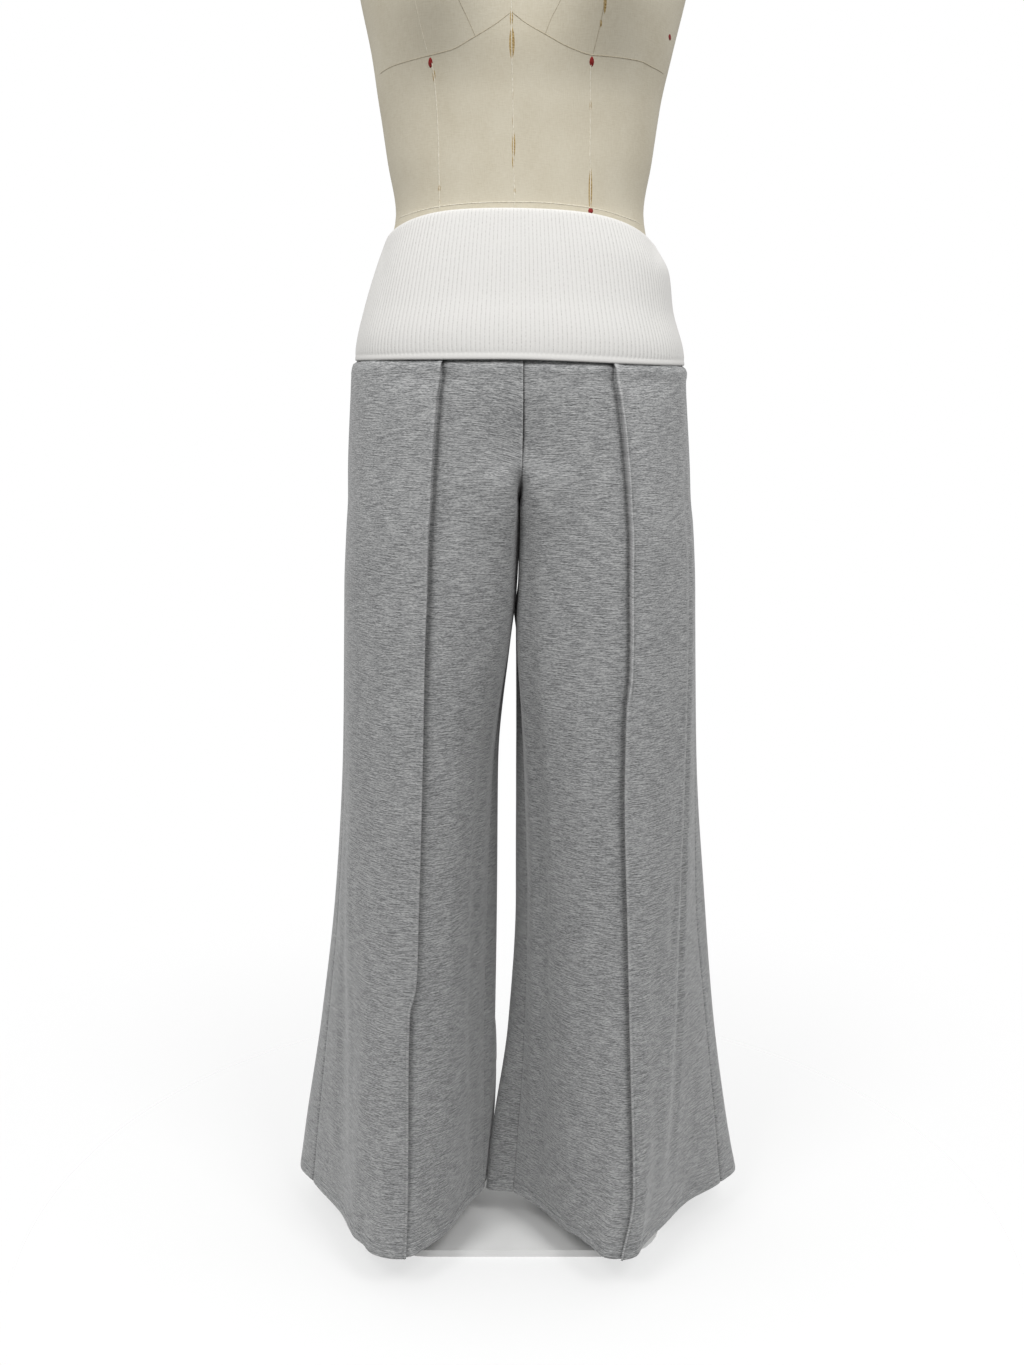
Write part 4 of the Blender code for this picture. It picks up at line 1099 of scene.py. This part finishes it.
# The third number sets the painted groove shade of the ribs.
band_places = points_of(2 * math.pi * BAND_RADIUS * share_round, level, rib_height * ribs + 1 - ribs)
faces = quads(np.pad(numbered(*x.shape), ((0, 1), (0, 1)), mode="wrap"))
band = mesh_object("ribbed_waistband", rings, band_places, faces, rib_knit, smooth_angle=75)
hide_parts("waistband")
print("waistband", x.shape, "area", round(sum(face.area for face in band.data.polygons) / 2, 4))

# %% [markdown]
# ## Dress form
# The torso is covered in tightly stretched beige linen, sewn in shaped panels. It could be
# sculpted, but a smooth loft through level sections keeps to the CAD form, and the bust is
# two soft mounds raised on it. The weave is two noises, drawn out along and across.

# %% Linen finish
LINEN_SHADES = (
    (0.30, (0.555, 0.50, 0.382)), (0.50, (0.612, 0.561, 0.443)), (0.72, (0.663, 0.617, 0.50)),
)
linen, tree, shader = finish_of("form_linen", 0.85, sheen=0.05)
place = cloth_place(tree)
warp = noise(tree, place, 0.9, 7.0, detail=2.0)
weft = noise(tree, place, 7.0, 0.9, detail=2.0)
old = noise(tree, place, 50.0, 60.0, detail=3.0)
weave = mixed(tree, warp, weft, 0.5)
coloured(tree, shader, mixed(tree, weave, old, 0.35), LINEN_SHADES)
bumped(tree, shader, weave, 0.0003, 0.4)
print("linen shades:", len(LINEN_SHADES))

# %% Torso
FORM_ROWS = (  # height; half width, depth in front and behind, and how far aside
    (866, 128, 82, 86, 0), (872, 141, 92, 96, 0), (900, 154, 103, 108, 0), (940, 158, 108, 112, 0),
    (980, 154, 106, 109, 0), (1020, 143, 100, 101, 0), (1060, 131, 94, 92, 0), (1104, 121, 89, 84, 1),
    (1150, 128, 91, 86, 1), (1200, 135, 96, 92, 1), (1250, 144, 103, 99, 3), (1300, 155, 104, 105, 4),
    (1350, 164, 100, 109, 5), (1390, 172, 93, 108, 5), (1420, 174, 84, 102, 5), (1445, 158, 75, 92, 5),
    (1470, 112, 66, 76, 5), (1490, 72, 57, 62, 5), (1520, 56, 52, 54, 5), (1560, 53, 50, 50, 5),
)
FORM_SQUARENESS, FORM_SIDES, FORM_RING = 2.2, 160, 0.008
BUST_HEIGHT, BUST_APART, BUST_SIZE, BUST_DEPTH, BUST_TALL = 1.3, 0.08, 0.052, 0.034, 0.9
MEAN_RADIUS, CAP = 0.13, 0.97


def bust(x, z):
    """How far the bust stands out from the loft."""
    away = [np.hypot(x - side * BUST_APART, (z - BUST_HEIGHT) * BUST_TALL) for side in (-1, 1)]
    return sum(BUST_DEPTH * np.exp(-((reach / BUST_SIZE) ** 2)) for reach in away)


def form_point(x, z, proud=0.0):
    """The point on the front of the form at a place across and a height."""
    wide, front, _, aside = read(FORM_ROWS, z)[0]
    part = min(abs(x - aside) / wide, 0.9999)
    y = -front * (1 - part ** FORM_SQUARENESS) ** (1 / FORM_SQUARENESS)
    y -= bust(x - aside, z) * min(1.0, -y / (0.5 * front))
    return np.array([x, y - proud, z])


levels = [row[0] * MM for row in FORM_ROWS]
levels = np.unique(np.concatenate([levels, np.arange(0.870, 1.560, FORM_RING)]))[:, None]
angles = np.linspace(0, 2 * math.pi, FORM_SIDES, endpoint=False)
wide, front, back, aside = read(FORM_ROWS, levels[:, 0]).T[..., None]
x, y = oblong(angles, wide, wide, front, back, FORM_SQUARENESS)
y = y - np.where(y < 0, bust(x, levels) * np.minimum(1.0, -y / (0.5 * front)), 0.0)
rings = points_of(x + aside, y, levels)
cap = rings[-1:] * (CAP, CAP, 1)  # the cover's round top has a weave of its own
rings = np.concatenate([rings, cap])
places = np.concatenate([points_of(angles * MEAN_RADIUS, levels, 0.0), cap * (1, 1, 0)])
faces = tube_faces(numbered(*rings.shape[:2]))
torso = mesh_object("form_torso", rings, places, faces, linen, smooth_angle=50)
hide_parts("dress_form")
print("torso", rings.shape[:2])

# %% [markdown]
# ## Seams of the cover
# The cover's panels meet in fine seams: one under the bust, two darts, princess seams, the
# middle of the front and the waist. Some are pale thread and some a dark groove. Each is a
# thin cord half sunk in the linen, so it shows as a line without swelling the form.

# %% Seams of the cover
PALE, DARK = "pale", "dark"
FORM_SEAMS = (  # kind, thickness in mm, path across and up in mm
    (DARK, 0.5, (-131, 1225), (-118, 1227), (-103, 1228), (-81, 1230), (-61, 1233), (-39, 1243),
     (-21, 1253), (-7, 1263)),
    (DARK, 0.6, (-7, 1263), (6, 1254), (23, 1245), (46, 1234), (67, 1229), (88, 1229), (109, 1229),
     (123, 1227), (136, 1226)),
    (PALE, 0.9, (-79, 1226), (-77, 1214), (-75, 1186), (-74, 1152), (-74, 1126), (-74, 1098)),
    (PALE, 0.9, (65, 1226), (64, 1213), (65, 1185), (65, 1151), (66, 1126), (66, 1098)),
    (PALE, 0.9, (-7, 1330), (-7, 1262), (-6.5, 1224), (-5.5, 1184), (-5, 1141), (-4, 1102)),
    (DARK, 0.4, (-66, 1300), (-53, 1270), (-46, 1257), (-39, 1243)),
    (DARK, 0.4, (48, 1300), (36, 1271), (28, 1257), (23, 1245)),
    (PALE, 0.4, (-96, 1300), (-92, 1273), (-88, 1254), (-82, 1231)),
    (DARK, 0.4, (82, 1300), (75, 1271), (72, 1255), (66, 1230)),
    (PALE, 0.8, (-117, 1097), (-103, 1099), (-83, 1102), (-59, 1104), (-26, 1105), (11, 1105),
     (48, 1103), (76, 1100), (101, 1095), (120, 1091)),
)
CORD_SIDES, CORD_STEPS = 8, 60
CORD_END, CORD_SWELL = 0.25, 0.4  # how thin its ends are, and how fast it grows from there


def cord_finish(name, low, high):
    return thread_finish(name, 0.7, 2.5, 0.6, ((0.35, low), (0.65, high)))


def cord(thick, *path):
    """A cord along a path on the front of the form, thin at both ends, and its places."""
    track = smooth(np.linspace(0, 1, len(path)), np.array(path) * MM, np.linspace(0, 1, CORD_STEPS))
    line = np.array([form_point(x, z) for x, z in track])
    way = np.gradient(line, axis=0)
    way /= np.linalg.norm(way, axis=1, keepdims=True)
    side = np.cross(way, (0, -1, 0))
    side /= np.linalg.norm(side, axis=1, keepdims=True)
    step = np.arange(CORD_STEPS)
    sizes = thick * MM / 2 * np.minimum(1.0, CORD_END + CORD_SWELL * np.minimum(step, step[::-1]))
    rings, turns = ringed(line, sizes, side, np.cross(side, way), CORD_SIDES)
    gaps = np.linalg.norm(np.diff(line, axis=0), axis=1)
    length = np.cumsum([0.0, 0.0, *gaps[:-1]])[:, None]
    return rings, points_of(length, turns * CORD_TWIST, 0.0)


seam_finishes = {
    PALE: cord_finish("pale_seam_thread", (0.62, 0.57, 0.44), (0.88, 0.84, 0.74)),
    DARK: cord_finish("dark_seam", (0.29, 0.24, 0.16), (0.50, 0.44, 0.32)),
}
for kind, finish in seam_finishes.items():
    shapes = [cord(*seam) for seam_kind, *seam in FORM_SEAMS if seam_kind == kind]
    cords = gathered(f"form_{kind}_seams", shapes, tube_faces, finish)
    print(cords.name, len(shapes), "cords")

# %% [markdown]
# ## Slits and tacks
# With age some of the seams have opened, and the ochre filling shows in narrow slits. Red
# thread tacks mark the bust points and the waist. They are thin lens and bead shapes that
# sit on the linen.

# %% Slits and tacks
SLITS = (  # across and up of the middle, half length and half width, in mm
    (-7, 1258, 7.0, 1.3), (-6.6, 1238, 13.5, 2.4), (-5, 1154, 12.0, 1.5), (-5.4, 1140, 6.0, 1.0),
    (-4.2, 1115, 3.0, 0.8), (-5.8, 1196, 5.0, 0.6), (-5.6, 1175, 5.0, 0.5), (65, 1189, 4.5, 0.9),
    (66, 1117, 20.0, 1.7), (-77, 1214, 5.5, 1.2), (-74, 1119, 3.5, 1.1), (75, 1268, 8.0, 1.3),
    (72, 1253, 3.0, 0.9), (-74, 1107, 3.0, 0.6), (-7, 1290, 10.0, 1.2),
)
TACKS = (  # across, up, half length and half width, in mm
    (-80, 1224.5, 4.2, 2.0), (65, 1224, 4.2, 2.1), (66.5, 1098.5, 3.0, 2.4), (140, 1256, 2.5, 1.6),
)


LENS_STEPS, LENS_SIDES, LENS_DEEP = 15, 5, 0.0012
LENS_POINT, LEAST_HALF, LEAST_PROUD = 0.8, 0.00005, 0.00002


def low_lens(across, up, long, wide, proud):
    """A low lens, pointed at both ends, on the front of the form, and its places."""
    share = np.linspace(-1, 1, LENS_SIDES)
    front, places = [], []
    for t in np.linspace(-1, 1, LENS_STEPS):
        half = (wide * MM * (1 - t * t) ** LENS_POINT + LEAST_HALF) * share
        lift = proud * MM * (1 - t * t) * (1 - share ** 2) + LEAST_PROUD
        spots = zip(across * MM + half, lift)
        front.append([form_point(x, (up + long * t) * MM, high) for x, high in spots])
        places.append(points_of(half, long * MM * t, 0.0))
    return np.array([front, np.add(front, (0, LENS_DEEP, 0))]), np.array([places, places])


for name, marks, proud, colours in (
    ("form_slits", SLITS, 0.15, ((0.26, 0.165, 0.055), (0.56, 0.42, 0.20))),
    ("form_tacks", TACKS, 0.8, ((0.16, 0.010, 0.010), (0.34, 0.030, 0.025))),
):
    shapes = [low_lens(*mark, proud) for mark in marks]
    made = gathered(name, shapes, closed_faces, cord_finish(name, *colours))
    print(name, len(marks))

# %% [markdown]
# ## Stand
# The stand keeps the shape of its CAD nodes. Powder coat has a faint orange peel and is a
# little uneven in gloss, so colour, roughness and bump come from fine noise.

# %% Stand
STAND_NODES = ("form_socket", "pole", "pole_flange", "base_plate")
PEEL, PATCH = 900.0, 14.0  # of the noise, per metre
PAINT_SHADES = ((0.35, (0.84, 0.84, 0.83)), (0.65, (0.90, 0.90, 0.89)))

paint, tree, shader = finish_of("stand_paint", 0.4)
place = node(tree, "ShaderNodeTexCoord"), "Object"
peel, patch = (
    (node(tree, "ShaderNodeTexNoise", {"Vector": place, "Scale": size, "Detail": 2.0}), "Fac")
    for size in (PEEL, PATCH)
)
coloured(tree, shader, patch, PAINT_SHADES)
gloss, socket = ranged(tree, patch, 0.34, 0.52)
tree.links.new(gloss.outputs[socket], shader.inputs["Roughness"])
bumped(tree, shader, peel, 0.00012, 0.6)
for name in STAND_NODES:
    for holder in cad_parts[name].material_slots:
        holder.material = paint
print("painted", STAND_NODES)
